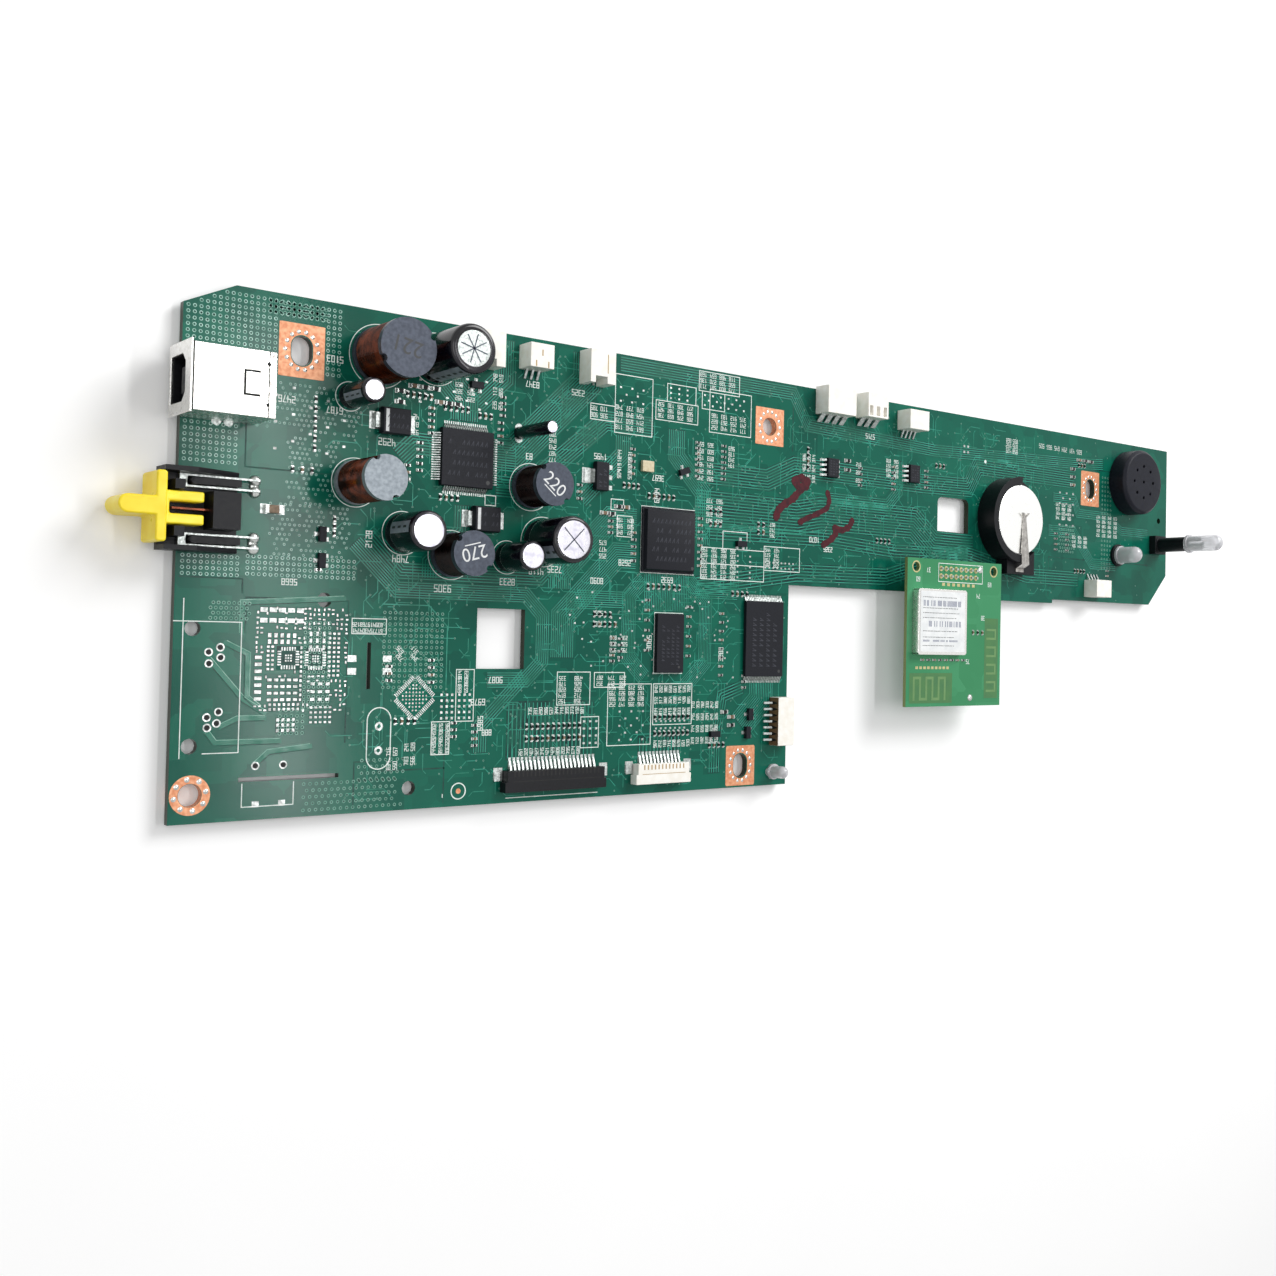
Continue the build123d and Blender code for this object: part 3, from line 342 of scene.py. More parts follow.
def solids(name):
    """Lowest and highest corners of each loose solid of a node, in millimetres, from left to right."""
    work = bmesh.new()
    work.from_mesh(NODES[name].data)
    bmesh.ops.remove_doubles(work, verts=work.verts, dist=WELD)
    found, seen = [], set()
    for start in work.verts:
        if start in seen:
            continue
        group, queue = [], [start]
        seen.add(start)
        while queue:
            vert = queue.pop()
            group.append(vert.co[:])
            near = [edge.other_vert(vert) for edge in vert.link_edges]
            queue += [other for other in near if other not in seen]
            seen.update(near)
        points = (np.array(group) - CORNER) / MM
        found.append((points.min(axis=0), points.max(axis=0)))
    work.free()
    return sorted(found, key=lambda box: tuple(box[0]))


def lead_tips():
    """Where leads stand out below the board: the middle of each lead's lowest corners."""
    below, lead_gap = 1.0, 1.0
    tips = []
    for node in NODES.values():
        points = np.empty(len(node.data.vertices) * 3)
        node.data.vertices.foreach_get("co", points)
        points = (points.reshape(-1, 3) - CORNER) / MM
        low = points[points[:, 2] < UNDERSIDE - below, :2]
        if len(low):
            near = np.linalg.norm(low[:, None] - low[None], axis=2) < lead_gap
            first = near.argmax(axis=1)
            tips += [low[first == k].mean(axis=0) for k in np.unique(first)]
    return np.array(tips)


# ---------- materials

def colour(code):
    """Linear red, green, blue and 1 from an sRGB hex code. A colour that is linear already stays."""
    if not isinstance(code, str):
        return tuple(code)
    values = [int(code[i:i + 2], 16) / 255 for i in (1, 3, 5)]
    return tuple(v / 12.92 if v <= 0.04045 else ((v + 0.055) / 1.055) ** 2.4 for v in values) + (1.0,)


def add(tree, kind, inputs=(), **settings):
    """Adds a node with its settings. Each input is a value or another node's output."""
    made = tree.nodes.new(kind)
    for key, value in settings.items():
        setattr(made, key, value)
    for key, value in dict(inputs).items():
        if isinstance(value, bpy.types.NodeSocket):
            tree.links.new(value, made.inputs[key])
        else:
            made.inputs[key].default_value = value
    return made


def finish(name):
    """A new material and its shader, ready for settings and links."""
    material = bpy.data.materials.new(name)
    material.use_nodes = True
    return material, material.node_tree, material.node_tree.nodes["Principled BSDF"]


# Sockets of a Mix node that blends colours: its share, its two colours and its result.
SHARE, FIRST, SECOND, BLEND = 0, 6, 7, 2


def plain(name, code, second, roughness, grain_mm, metallic=0.0, bump=0.0, coat=0.0, shine=0.5):
    """A finish whose colour and roughness drift over grain_mm, with a fine bump of the same grain."""
    material, tree, shader = finish(name)
    where = add(tree, "ShaderNodeTexCoord").outputs["Object"]
    grain = add(tree, "ShaderNodeTexNoise", {"Vector": where, "Scale": 1 / (grain_mm * MM), "Detail": 4.0})
    fade = add(tree, "ShaderNodeMapRange", {"Value": grain.outputs["Fac"], "From Min": 0.35,
                                            "From Max": 0.65, "To Max": 1.0}).outputs[0]
    tint = add(tree, "ShaderNodeMix", {SHARE: fade, FIRST: colour(code), SECOND: colour(second)},
               data_type="RGBA")
    tree.links.new(tint.outputs[BLEND], shader.inputs["Base Color"])
    spread = 0.08
    rough = add(tree, "ShaderNodeMapRange", {"Value": grain.outputs["Fac"], "From Min": 0.3, "From Max": 0.7,
                                             "To Min": max(roughness - spread, 0.03),
                                             "To Max": roughness + spread})
    tree.links.new(rough.outputs[0], shader.inputs["Roughness"])
    shader.inputs["Metallic"].default_value = metallic
    shader.inputs["Coat Weight"].default_value = coat
    shader.inputs["Specular IOR Level"].default_value = shine
    if bump:
        relief = add(tree, "ShaderNodeBump", {"Height": grain.outputs["Fac"], "Distance": bump * MM,
                                              "Strength": 0.6})
        tree.links.new(relief.outputs[0], shader.inputs["Normal"])
    return material


def solder_mask(name, pour, gap, edge, patch_mm, lift):
    """Screened epoxy over copper: light where copper lies under it and darker between, under a gloss.

    The patches of copper are square cells. The faces of the cut edge take the edge colour; the main board's
    near-black edge colour is painted shade on edges turned from the light.
    """
    material, tree, shader = finish(name)
    clouds, threads = 28.0, 900.0  # per metre
    where = add(tree, "ShaderNodeTexCoord").outputs["Object"]
    cells = add(tree, "ShaderNodeTexVoronoi", {"Vector": where, "Scale": 1 / (patch_mm * MM)},
                distance="CHEBYCHEV", feature="F1")
    cell_tone = add(tree, "ShaderNodeSeparateColor", {"Color": cells.outputs["Color"]}).outputs[0]
    tone = add(tree, "ShaderNodeMapRange", {"Value": cell_tone, "From Min": 0.2, "From Max": 0.8,
                                            "To Max": lift}).outputs[0]
    patches = add(tree, "ShaderNodeMix", {SHARE: tone, FIRST: colour(gap), SECOND: colour(pour)},
                  data_type="RGBA").outputs[BLEND]
    cloud = add(tree, "ShaderNodeTexNoise", {"Vector": where, "Scale": clouds, "Detail": 3.0})
    weave = add(tree, "ShaderNodeTexNoise", {"Vector": where, "Scale": threads, "Detail": 2.0})
    wash = add(tree, "ShaderNodeMapRange", {"Value": cloud.outputs["Fac"], "From Min": 0.35,
                                            "From Max": 0.7, "To Max": 0.35}).outputs[0]
    face = add(tree, "ShaderNodeMix", {SHARE: wash, FIRST: patches, SECOND: colour(pour)},
               data_type="RGBA").outputs[BLEND]
    # Faces that look up or down carry the mask, and the others are the cut edge.
    normal = add(tree, "ShaderNodeSeparateXYZ",
                 {"Vector": add(tree, "ShaderNodeNewGeometry").outputs["Normal"]}).outputs["Z"]
    flat = add(tree, "ShaderNodeMath", {0: normal}, operation="ABSOLUTE").outputs[0]
    level = add(tree, "ShaderNodeMath", {0: flat, 1: 0.5}, operation="GREATER_THAN").outputs[0]
    tint = add(tree, "ShaderNodeMix", {SHARE: level, FIRST: colour(edge), SECOND: face}, data_type="RGBA")
    tree.links.new(tint.outputs[BLEND], shader.inputs["Base Color"])
    rough = add(tree, "ShaderNodeMapRange", {"Value": cloud.outputs["Fac"], "From Min": 0.3,
                                             "From Max": 0.7, "To Min": 0.13, "To Max": 0.2}).outputs[0]
    tree.links.new(rough, shader.inputs["Roughness"])
    shader.inputs["IOR"].default_value = 1.5
    shader.inputs["Specular IOR Level"].default_value = 0.17
    relief = add(tree, "ShaderNodeBump", {"Height": weave.outputs["Fac"], "Distance": 0.02 * MM,
                                          "Strength": 0.22})
    step = add(tree, "ShaderNodeBump", {"Height": tone, "Distance": 0.02 * MM, "Strength": 0.15,
                                        "Normal": relief.outputs[0]})
    tree.links.new(step.outputs[0], shader.inputs["Normal"])
    return material


def clear_resin():
    """Cast clear epoxy of a lamp: water clear, slightly milky, with a smooth skin."""
    material, _, shader = finish("clear_epoxy")
    shader.inputs["Base Color"].default_value = colour("#F3F3F7")
    shader.inputs["Roughness"].default_value = 0.08
    shader.inputs["Transmission Weight"].default_value = 0.5
    shader.inputs["IOR"].default_value = 1.5
    return material


MATERIALS = {}


def make_materials(look):
    """All finishes of the board, each named for what the real one is."""
    MATERIALS.update({
        # Screened epoxy mask: glossy green, lighter over copper.
        # The cut edge's near-black green is painted shade, for edges turned away from the light.
        "mask": solder_mask("green_solder_mask", look.mask_pour, look.mask_gap, "#26301F", 5.5, 0.4),
        # The module's own mask, yellower and paler.
        "module_mask": solder_mask("module_solder_mask", "#49976A", "#3A865A", "#7E8A58", 9.0, 0.6),
        # Mask over a track, a little lighter.
        "track": plain("masked_track", look.track, look.mask_pour, 0.28, 3.0, shine=0.25),
        # Mask where copper is cut away, the darkest green.
        "deep": plain("masked_gap", look.mask_deep, look.mask_gap, 0.32, 3.0, shine=0.2),
        # Mask over a wide track, near the pours' colour.
        "ridge": plain("masked_wide_track", "#15705A", "#106853", 0.2, 2.0, shine=0.25),
        # Thin mask over a via's rim, pale where it catches light.
        "rim": plain("via_rim", "#86B8A6", "#5F9A86", 0.3, 1.2, shine=0.3),
        # Vias paler than the masked ones, with painted glare: their brightness stands for light glinting off
        # them.
        "pale_via_rim_and_glare": plain("pale_via_rim_with_painted_glare", "#A9D9CB", "#6BA491", 0.22, 0.9, shine=0.5),
        # Screened white ink, dull and a little worn.
        "ink": plain("screened_ink", "#F4FAF6", "#D5E4DC", 0.6, 1.5),
        # Bare copper under a clear organic coat: orange pink, cloudy.
        "copper": plain("coated_copper", "#E2A47C", "#CA8058", 0.42, 0.7, metallic=0.25, bump=0.02),
        # Hot-dipped tin, bright and uneven.
        "tin": plain("tinned_metal", "#C3C8C6", "#8B918E", 0.36, 0.5, metallic=0.8, bump=0.03),
        # Solder that set as a smooth bright bead.
        "solder": plain("solder", "#CFD1CE", "#A3A6A3", 0.26, 0.7, metallic=0.85, bump=0.04),
        # Nickel-plated sheet steel, satin.
        "steel": plain("plated_sheet_steel", "#E9E8E5", "#DAD9D5", 0.24, 1.2, metallic=0.9, bump=0.01),
        # Spring steel painted darker than the cell under it, for the shade and dark reflections it shows.
        "spring": plain("spring_steel_with_painted_reflection", "#BFBCB7", "#8F8C88", 0.22, 1.2, metallic=0.95, bump=0.02),
        # Stainless can of the coin cell, nearly white.
        "cell": plain("cell_steel", "#FAFAF8", "#F3F3F0", 0.24, 4.0, metallic=0.7),
        # Drawn aluminium, silvery with faint marks.
        "aluminium": plain("drawn_aluminium", "#DDDCE2", "#AEACB8", 0.3, 1.6, metallic=0.9, bump=0.03),
        # Black glass-filled nylon, moulded: fine satin.
        "black": plain("black_nylon", "#0A0B0E", "#101116", 0.4, 0.5, bump=0.008, shine=0.2),
        # Natural nylon of the wire headers: warm white satin.
        "white": plain("natural_nylon", "#FCFAF4", "#F4F0E6", 0.42, 1.8, bump=0.004),
        # The same nylon painted tan for the shade in a slot or groove.
        "tan": plain("shaded_nylon", "#B79A6A", "#A88A5B", 0.5, 1.0, bump=0.02),
        # The same nylon painted darker still, for the shade on a face turned from the light.
        "amber": plain("nylon_in_shade", "#7A5A3C", "#5E4530", 0.5, 1.0),
        # Nylon of the inlet's key, bright yellow satin.
        "yellow": plain("yellow_nylon", look.key_colour, "#FADC1C", 0.34, 4.0, bump=0.004),
        # Shrunk film sleeve, glossy black with a violet cast.
        "sleeve": plain("shrunk_sleeve", "#08070D", "#100E1A", 0.18, 4.0, coat=0.15, shine=0.35),
        # The grey stripe printed down a sleeve.
        "stripe": plain("sleeve_stripe", "#8F94A0", "#7C818D", 0.35, 2.0),
        # Moulded epoxy of the chips, matt grey black.
        "epoxy": plain("chip_epoxy", "#191B22", "#121319", 0.48, 0.25, bump=0.006, shine=0.16),
        # Epoxy burnt by a laser: a faint dull grey.
        "epoxy_mark": plain("chip_laser_mark", "#3F4149", "#33353C", 0.6, 0.5, shine=0.2),
        # Pressed ferrite, dark grey with a dull shine.
        "ferrite": plain("pressed_ferrite", "#4A505C", "#3B404B", 0.36, 0.8, metallic=0.3, bump=0.006,
                         shine=0.25),
        # Ferrite ground flat, lighter and mottled.
        "ferrite_light": plain("ground_ferrite", "#8C959C", "#767F87", 0.38, 0.7, metallic=0.2, bump=0.008),
        # Copper wire under amber lacquer, brown with bright edges.
        "wire": plain("enamelled_wire", "#6C321A", "#1C0A05", 0.24, 2.5, metallic=0.6, coat=0.2, shine=0.3),
        # Winding dipped in varnish, nearly black. The same near-black paints the shade of the 7-way header's
        # recesses.
        "dark_varnish_and_shade": plain("varnished_winding_and_painted_shade", "#0D0A0A", "#221411", 0.3, 1.6, metallic=0.3, shine=0.3),
        # Printed white paint, flat.
        "paint": plain("printed_white", "#E8EAEA", "#D2D5D5", 0.5, 1.0),
        # Printed dark paint, flat.
        "dark_paint": plain("printed_dark", "#1B1D1F", "#26282A", 0.5, 1.0),
        # The label's bars, blue black.
        "code": plain("printed_blue_black", "#2A3563", "#333F70", 0.5, 1.0),
        # Coated paper label, flat white.
        "label": plain("paper_label", "#EDEFEF", "#DFE2E3", 0.55, 2.0, bump=0.01),
        # Glazed ceramic lid, cream.
        "cream": plain("glazed_ceramic_lid", "#D9CDAE", "#C7B994", 0.35, 0.8),
        # Moulded resin, blue black and matt.
        "sounder": plain("moulded_resin", "#11131B", "#181A24", 0.44, 0.6, bump=0.008, shine=0.15),
        # Inside a hole or seam, where no light reaches.
        "dark": plain("shadowed_hole", "#050505", "#0A0A0A", 0.8, 1.0),
        # Fired ceramic of small capacitors, brown.
        "ceramic": plain("fired_ceramic", "#7A6246", "#5F4A33", 0.42, 0.6, bump=0.01),
        # Glass glaze of small resistors, glossy black.
        "glaze": plain("resistor_glaze", "#0C0D10", "#141518", 0.32, 0.6, shine=0.2),
        # Gold flash over nickel, pale gold.
        "module_gold": plain("gold_flash", "#D6CE9C", "#B3A878", 0.3, 0.8, metallic=0.8),
        # Mask over bare laminate, olive green.
        "module_bare": plain("module_cleared_laminate", "#4C7C4A", "#44744A", 0.4, 3.0, shine=0.3),
        # Mask over an antenna, lighter than its ground.
        "module_track": plain("module_track", "#6E9560", "#648A58", 0.35, 2.0, shine=0.3),
        # Felt marker ink, thin and dark red.
        "marker": plain("marker_ink", "#521A22", "#35131A", 0.45, 1.2, shine=0.15),
        "resin": clear_resin(),
    })


# ---------- layout of the board's surface

# Heights of the flat layers over the board's face, one above another, and of small parts' feet.
TRACK_Z, VIA_Z, PAD_Z, INK_Z, FOOT_Z = 0.015, 0.03, 0.04, 0.045, 0.03
RANDOM = np.random.default_rng(7)

# Straight strokes (x0, y0, x1, y1) of each digit, in a cell 1 wide and 2 high.
DIGITS = {
    0: ((0, 0, 1, 0), (1, 0, 1, 2), (1, 2, 0, 2), (0, 2, 0, 0)),
    1: ((0.5, 0, 0.5, 2), (0.5, 2, 0.1, 1.6)),
    2: ((0, 2, 1, 2), (1, 2, 1, 1), (1, 1, 0, 1), (0, 1, 0, 0), (0, 0, 1, 0)),
    3: ((0, 2, 1, 2), (1, 2, 1, 0), (1, 0, 0, 0), (0.2, 1, 1, 1)),
    4: ((0, 2, 0, 1), (0, 1, 1, 1), (1, 2, 1, 0)),
    5: ((1, 2, 0, 2), (0, 2, 0, 1), (0, 1, 1, 1), (1, 1, 1, 0), (1, 0, 0, 0)),
    6: ((1, 2, 0, 2), (0, 2, 0, 0), (0, 0, 1, 0), (1, 0, 1, 1), (1, 1, 0, 1)),
    7: ((0, 2, 1, 2), (1, 2, 0.4, 0)),
    8: ((0, 0, 1, 0), (1, 0, 1, 2), (1, 2, 0, 2), (0, 2, 0, 0), (0, 1, 1, 1)),
    9: ((0, 0, 1, 0), (1, 0, 1, 2), (1, 2, 0, 2), (0, 2, 0, 1), (0, 1, 1, 1)),
}


def number_strokes(value, x, y, height, turn):
    """Straight strokes of a number whose middle is at x, y. A digit is half as wide as high."""
    digits = [int(c) for c in str(value)]
    unit = height / 2
    pitch = unit * 1.45
    out = []
    for i, digit in enumerate(digits):
        s = np.array(DIGITS[digit], dtype=float).reshape(-1, 2, 2)
        s = s * [unit * 0.9, unit] + [(i - len(digits) / 2) * pitch + 0.2 * unit, -unit]
        out.append((s @ spin(turn) + [x, y]).reshape(-1, 4))
    return np.vstack(out)


def offset_path(points, distance):
    """The path beside a path: each corner moves along its mitre."""
    p = np.asarray(points, dtype=float)
    run = np.diff(p, axis=0)
    run /= np.linalg.norm(run, axis=1, keepdims=True)
    normal = np.stack([-run[:, 1], run[:, 0]], axis=1)
    first = np.vstack([normal[:1], normal])
    last = np.vstack([normal, normal[-1:]])
    mitre = first + last
    mitre /= (mitre * last).sum(axis=1, keepdims=True)
    return p + mitre * distance


def runs(points):
    """The straight runs of a path, each as (x0, y0, x1, y1)."""
    p = np.asarray(points, dtype=float)
    return np.hstack([p[:-1], p[1:]])


def outline(x0, x1, y0, y1):
    """The four sides of a box, as runs."""
    return runs([(x0, y0), (x1, y0), (x1, y1), (x0, y1), (x0, y0)])


def bundle(points, count, pitch):
    """Side-by-side tracks that follow one path."""
    return np.vstack([runs(offset_path(points, (k - (count - 1) / 2) * pitch)) for k in range(count)])


def circle(x, y, x_radius, y_radius, count, start=0.0):
    """Places evenly round an ellipse: (x + rx cos a, y + ry sin a), the first at the start angle."""
    angle = start + np.arange(count) * 2 * np.pi / count
    return np.stack([x + x_radius * np.cos(angle), y + y_radius * np.sin(angle)], axis=1)


def across(x, y, dx, dy):
    """Places (x + dx, y + dy). Any of the four may be a row of values, and single ones repeat along it."""
    return np.stack(np.broadcast_arrays(x + np.asarray(dx), y + np.asarray(dy)), axis=1)


def grid(x0, x1, y0, y1, step, stagger=False):
    """Points of a plain or staggered grid. The step is one number, or one for each direction."""
    dx, dy = np.broadcast_to(step, 2)
    x, y = np.meshgrid(np.arange(x0, x1 + 1e-6, dx), np.arange(y0, y1 + 1e-6, dy))
    if stagger:
        x[1::2] += dx / 2
    return np.stack([x.ravel(), y.ravel()], axis=1)


def inside(points, x0, x1, y0, y1, margin):
    """Which points lie in a box that is made larger by the margin on every side."""
    x, y = np.asarray(points)[:, 0], np.asarray(points)[:, 1]
    return (x > x0 - margin) & (x < x1 + margin) & (y > y0 - margin) & (y < y1 + margin)


def on_board(points, margin):
    """Which points are on copper: inside the L, clear of its holes, windows and bare pads."""
    p = np.asarray(points)
    ok = inside(p, 0, BOARD_LENGTH, 0, BOARD_DEPTH, -margin)
    ok &= (p[:, 0] < MAIN_LENGTH - margin) | (p[:, 1] > ARM_FRONT + margin)
    length, depth = LEFT_CUT
    ok &= p[:, 1] < BOARD_DEPTH - depth + p[:, 0] * depth / length - margin
    length, depth = RIGHT_CUT
    ok &= p[:, 0] - BOARD_LENGTH + length < (p[:, 1] - ARM_FRONT) * length / depth - margin
    for x0, x1, y0, y1 in KEEP_OUT:
        ok &= ~inside(p, x0, x1, y0, y1, margin)
    return ok


CORNER_HOLE, LOCATING_HOLE = (3.8, 5.2), (140.3, BOARD_DEPTH - 11.4)
TARGET = (57.8, 3.1)  # the round mark by which a machine finds the board
# Boxes of the two windows, and of the bare pads round the locating hole and the three mounting slots:
# x range and y range. A slot's ends are half circles, each SLOT_RUN from the middle.
WINDOWS = [(61.2, 72.6, 28.3, 41.1), (201.5, 214.1, 64.4, 76)]
PAD_FIELDS = [(17.7, 26.7, 84, 94.4), (135.8, 144.9, 83.6, 92.8), (128.6, 137.5, 0.4, 10),
              (265.2, 274.2, 78.6, 89.2)]
SLOT_RUN, SLOT_RADIUS = 0.85, 2.2
# What tracks and vias keep clear of: also the corner hole, the four tooling holes, the two milled slots and
# the holes of the lamp at the arm's end.
KEEP_OUT = WINDOWS + PAD_FIELDS + [(0, 8, 1, 9), (0.8, 6, 33.5, 37.7), (0.8, 6, 12, 16.2),
    (26, 30.2, 39.5, 43.7), (44.6, 48.8, 2.2, 6.4), (12.3, 32.2, 7, 8.2), (37, 38, 24, 33.8),
    (304.6, 307.8, 75, 78.2)]

# Side-by-side tracks: the corners of their middle line, how many there are and their pitch.
BUNDLES = [
    (((79.7, 9.5), (79.7, 21)), 22, 1),
    (((34, 53), (43, 44.2), (72.6, 44.2), (77, 39.8), (77, 30), (73, 26), (64, 26)), 7, 0.5),
    (((37, 55), (44, 48), (76, 48), (86, 58)), 6, 0.6),
    (((101, 62), (94, 62), (81, 49), (81, 46)), 12, 0.5),
    (((101, 54), (96, 54), (82, 40), (82, 31)), 12, 0.5),
    (((65, 74), (69, 74), (87, 92), (87, 98)), 14, 0.55),
    (((65, 67), (72, 67), (92, 84), (105, 84)), 8, 0.6),
    (((118, 66.5), (150, 66.5), (158, 68), (192, 68), (200, 62), (216, 62)), 12, 0.75),
    (((119, 75), (140, 75), (149, 79), (196, 79), (214, 79.5), (218, 86), (262, 86)), 8, 0.7),
    (((96, 97.4), (148, 97.4), (153, 90), (200, 88.5), (262, 91), (276, 92)), 6, 0.6),
    (((119, 48), (150, 52.5), (182, 53), (212, 61), (240, 56), (264, 56)), 6, 0.8),
    (((118, 61), (160, 61.5), (185, 60), (214, 60.5)), 5, 0.8),
    (((110, 50.2), (110, 42)), 26, 0.5),
    (((103.5, 49), (99.5, 45), (99.5, 31), (104, 26.5)), 9, 0.45),
    (((116.5, 49), (121.5, 44), (121.5, 30), (116, 24.5)), 9, 0.45),
    (((118.5, 47), (128, 47), (131, 47)), 8, 0.5),
    (((139.2, 25), (139.2, 21), (133, 15)), 14, 0.55),
    (((108.8, 9), (108.8, 12.6)), 12, 1),
    (((73, 27), (62.5, 16.5), (62.5, 11)), 6, 0.55),
    (((57, 62), (57, 57), (50, 50), (50, 47)), 6, 0.6),
    (((57, 80), (57, 84), (54, 87), (54, 92)), 12, 0.55),
    (((50, 74), (46, 74), (43, 71)), 8, 0.6),
    (((54.4, 24), (54.4, 37), (50.2, 41.2), (40.2, 41.2)), 1, 0.5),
    (((250, 70), (262, 70), (271, 61), (283, 61)), 6, 0.6),
    (((252, 80), (262, 80), (264, 76), (278, 76), (286, 72), (300, 72)), 5, 0.6),
    (((125, 4), (125, 10), (127, 22), (133, 24)), 5, 0.7),
    (((85, 44), (98, 44)), 8, 0.5),
    (((120, 58), (120, 70), (112, 78), (112, 84)), 9, 0.55),
    (((60, 84), (66, 90), (66, 98)), 9, 0.55),
    (((86, 66), (97, 77), (97, 81)), 8, 0.55),
    (((160, 72), (182, 72), (186, 76), (186, 84)), 6, 0.6),
]

# Outlines printed round groups of parts: x range and y range.
INK_BOXES = [
    (94.5, 104.8, 81.7, 95), (88, 94.5, 84, 87.5), (105.8, 118, 86, 90.5),
    (109, 117.3, 90.5, 94.7), (118.2, 130.5, 94.3, 99), (119.2, 126, 90.1, 94.3),
    (121.5, 134.3, 84.8, 95), (81, 89.5, 20.5, 27.7), (90.6, 98.7, 24.3, 27.6),
    (94.3, 106.2, 11.2, 25), (106.8, 117.9, 15.6, 25), (87.3, 92, 11, 17.8),
    (126.3, 133.8, 57.3, 61.5), (119.8, 139.3, 53.5, 57.3), (119.8, 139.3, 49.8, 53.5),
    (139.3, 151, 52.7, 58.6), (33.8, 41, 35.2, 38.2), (56.7, 60.8, 17.5, 28.2),
    (51.4, 55.4, 10.8, 17.5), (102.4, 117.6, 50.5, 65.7), (106.7, 114.8, 27.4, 41.4),
    (95.8, 99.8, 58.3, 63), (94, 97.4, 64.2, 66.6), (62.3, 64.8, 62.7, 64.8),
]
# Rows of part numbers: x range, y range, column and row spacing, height and turn.
NUMBER_FIELDS = [
    (95.6, 104.2, 83, 88, 2.9, 1.5, 1, 180), (88.9, 94, 85, 86.6, 2.6, 1.5, 1, 180),
    (107.2, 117, 87, 89.8, 2.8, 1.3, 0.9, 180), (119.4, 129.8, 95.4, 98.4, 2.9, 1.4, 1, 180),
    (123, 133.4, 86, 89.4, 2.9, 1.4, 1, 180), (82.3, 89, 21.3, 27.1, 4, 1.25, 0.95, 180),
    (92, 98.2, 25.1, 26.8, 3.1, 1.3, 0.9, 180), (95.5, 105.4, 20.4, 24.3, 2.6, 1.25, 0.9, 180),
    (107.6, 117.4, 18.6, 24.2, 1.35, 2.6, 0.85, 90), (107.6, 117.4, 11.2, 12.4, 1.35, 2.6, 0.85, 90),
    (74.4, 87.6, 19.3, 20.2, 1.32, 2.6, 0.85, 90), (72.3, 87.6, 10.6, 11.2, 1.32, 2.6, 0.85, 90),
    (120.8, 130, 54.2, 56.8, 2.9, 1.25, 0.9, 180), (120.8, 130, 50.4, 53, 2.9, 1.25, 0.9, 180),
    (140.4, 146, 54, 58, 2.9, 1.25, 0.9, 180), (122, 126, 63.6, 68.6, 3, 1.6, 1, 180),
    (119, 122, 73.6, 82.6, 3, 1.6, 1, 180), (128.4, 130, 77.4, 82.6, 3, 1.35, 1, 180),
    (118.4, 125.8, 11.6, 20, 1.4, 2.8, 0.85, 90), (78.4, 80, 73.8, 80, 3, 1.4, 0.95, 180),
    (96, 100.4, 72.4, 77.2, 2.9, 1.5, 1, 90), (96.4, 99.4, 59.2, 62.4, 3, 1.4, 0.9, 180),
    (34.6, 40.6, 35.8, 37.8, 1.6, 1.2, 0.8, 180), (57.5, 60.2, 24.2, 27.8, 1.5, 1.5, 0.8, 90),
    (52, 55, 11.6, 17, 1.5, 1.6, 0.8, 90), (95.4, 98.6, 32.6, 35.6, 3, 1.4, 0.9, 180),
    (91.4, 93, 38.4, 40.8, 3, 2.4, 1.1, 180), (152, 156.4, 76.6, 82.6, 1.6, 2.6, 1, 90),
    (171, 172.6, 77.6, 82, 3, 2.1, 1, 180), (182, 186, 80, 84, 2.9, 1.3, 0.9, 180),
    (141.8, 143.4, 61.4, 64.4, 3, 1.3, 0.9, 180), (254, 262, 74, 78.6, 2.8, 1.3, 0.9, 180),
    (262, 270, 66, 69, 2.8, 1.3, 0.9, 180), (274, 283, 70, 76, 2.9, 1.4, 0.9, 180),
    (231, 236, 91.6, 94.6, 2.9, 1.5, 1.2, 180), (246, 264, 94.6, 94.6, 3.6, 2, 1.3, 180),
    (55.6, 58.6, 84.4, 88.4, 2.8, 1.4, 0.9, 180),
    (64, 66, 84, 90, 1.4, 2.9, 0.9, 90), (45.8, 48.6, 76.2, 80, 3.2, 1.6, 1, 180),
    (92, 95, 53.6, 56.6, 4.8, 1.5, 1, 180), (42.2, 43.6, 9, 12.6, 1.4, 2.8, 0.9, 90),
    (46, 47.4, 9.8, 14.6, 1.4, 2.8, 0.9, 90), (44, 50, 30.6, 33, 3.2, 1.5, 0.9, 135),
]
# Rings printed round the drums and then the cans: place from the left and from the back edge, and radius.
PRINTED_RINGS = [(33.6, 34.7, 4.75), (38, 9.1, 6.25), (73.1, 32.2, 5), (54.7, 47.8, 5),
                 (76.5, 43.8, 5.3), (43.9, 44, 4.3), (50.3, 7.9, 5.3), (32, 17.9, 2.8),
                 (67.8, 47.6, 3.45)]
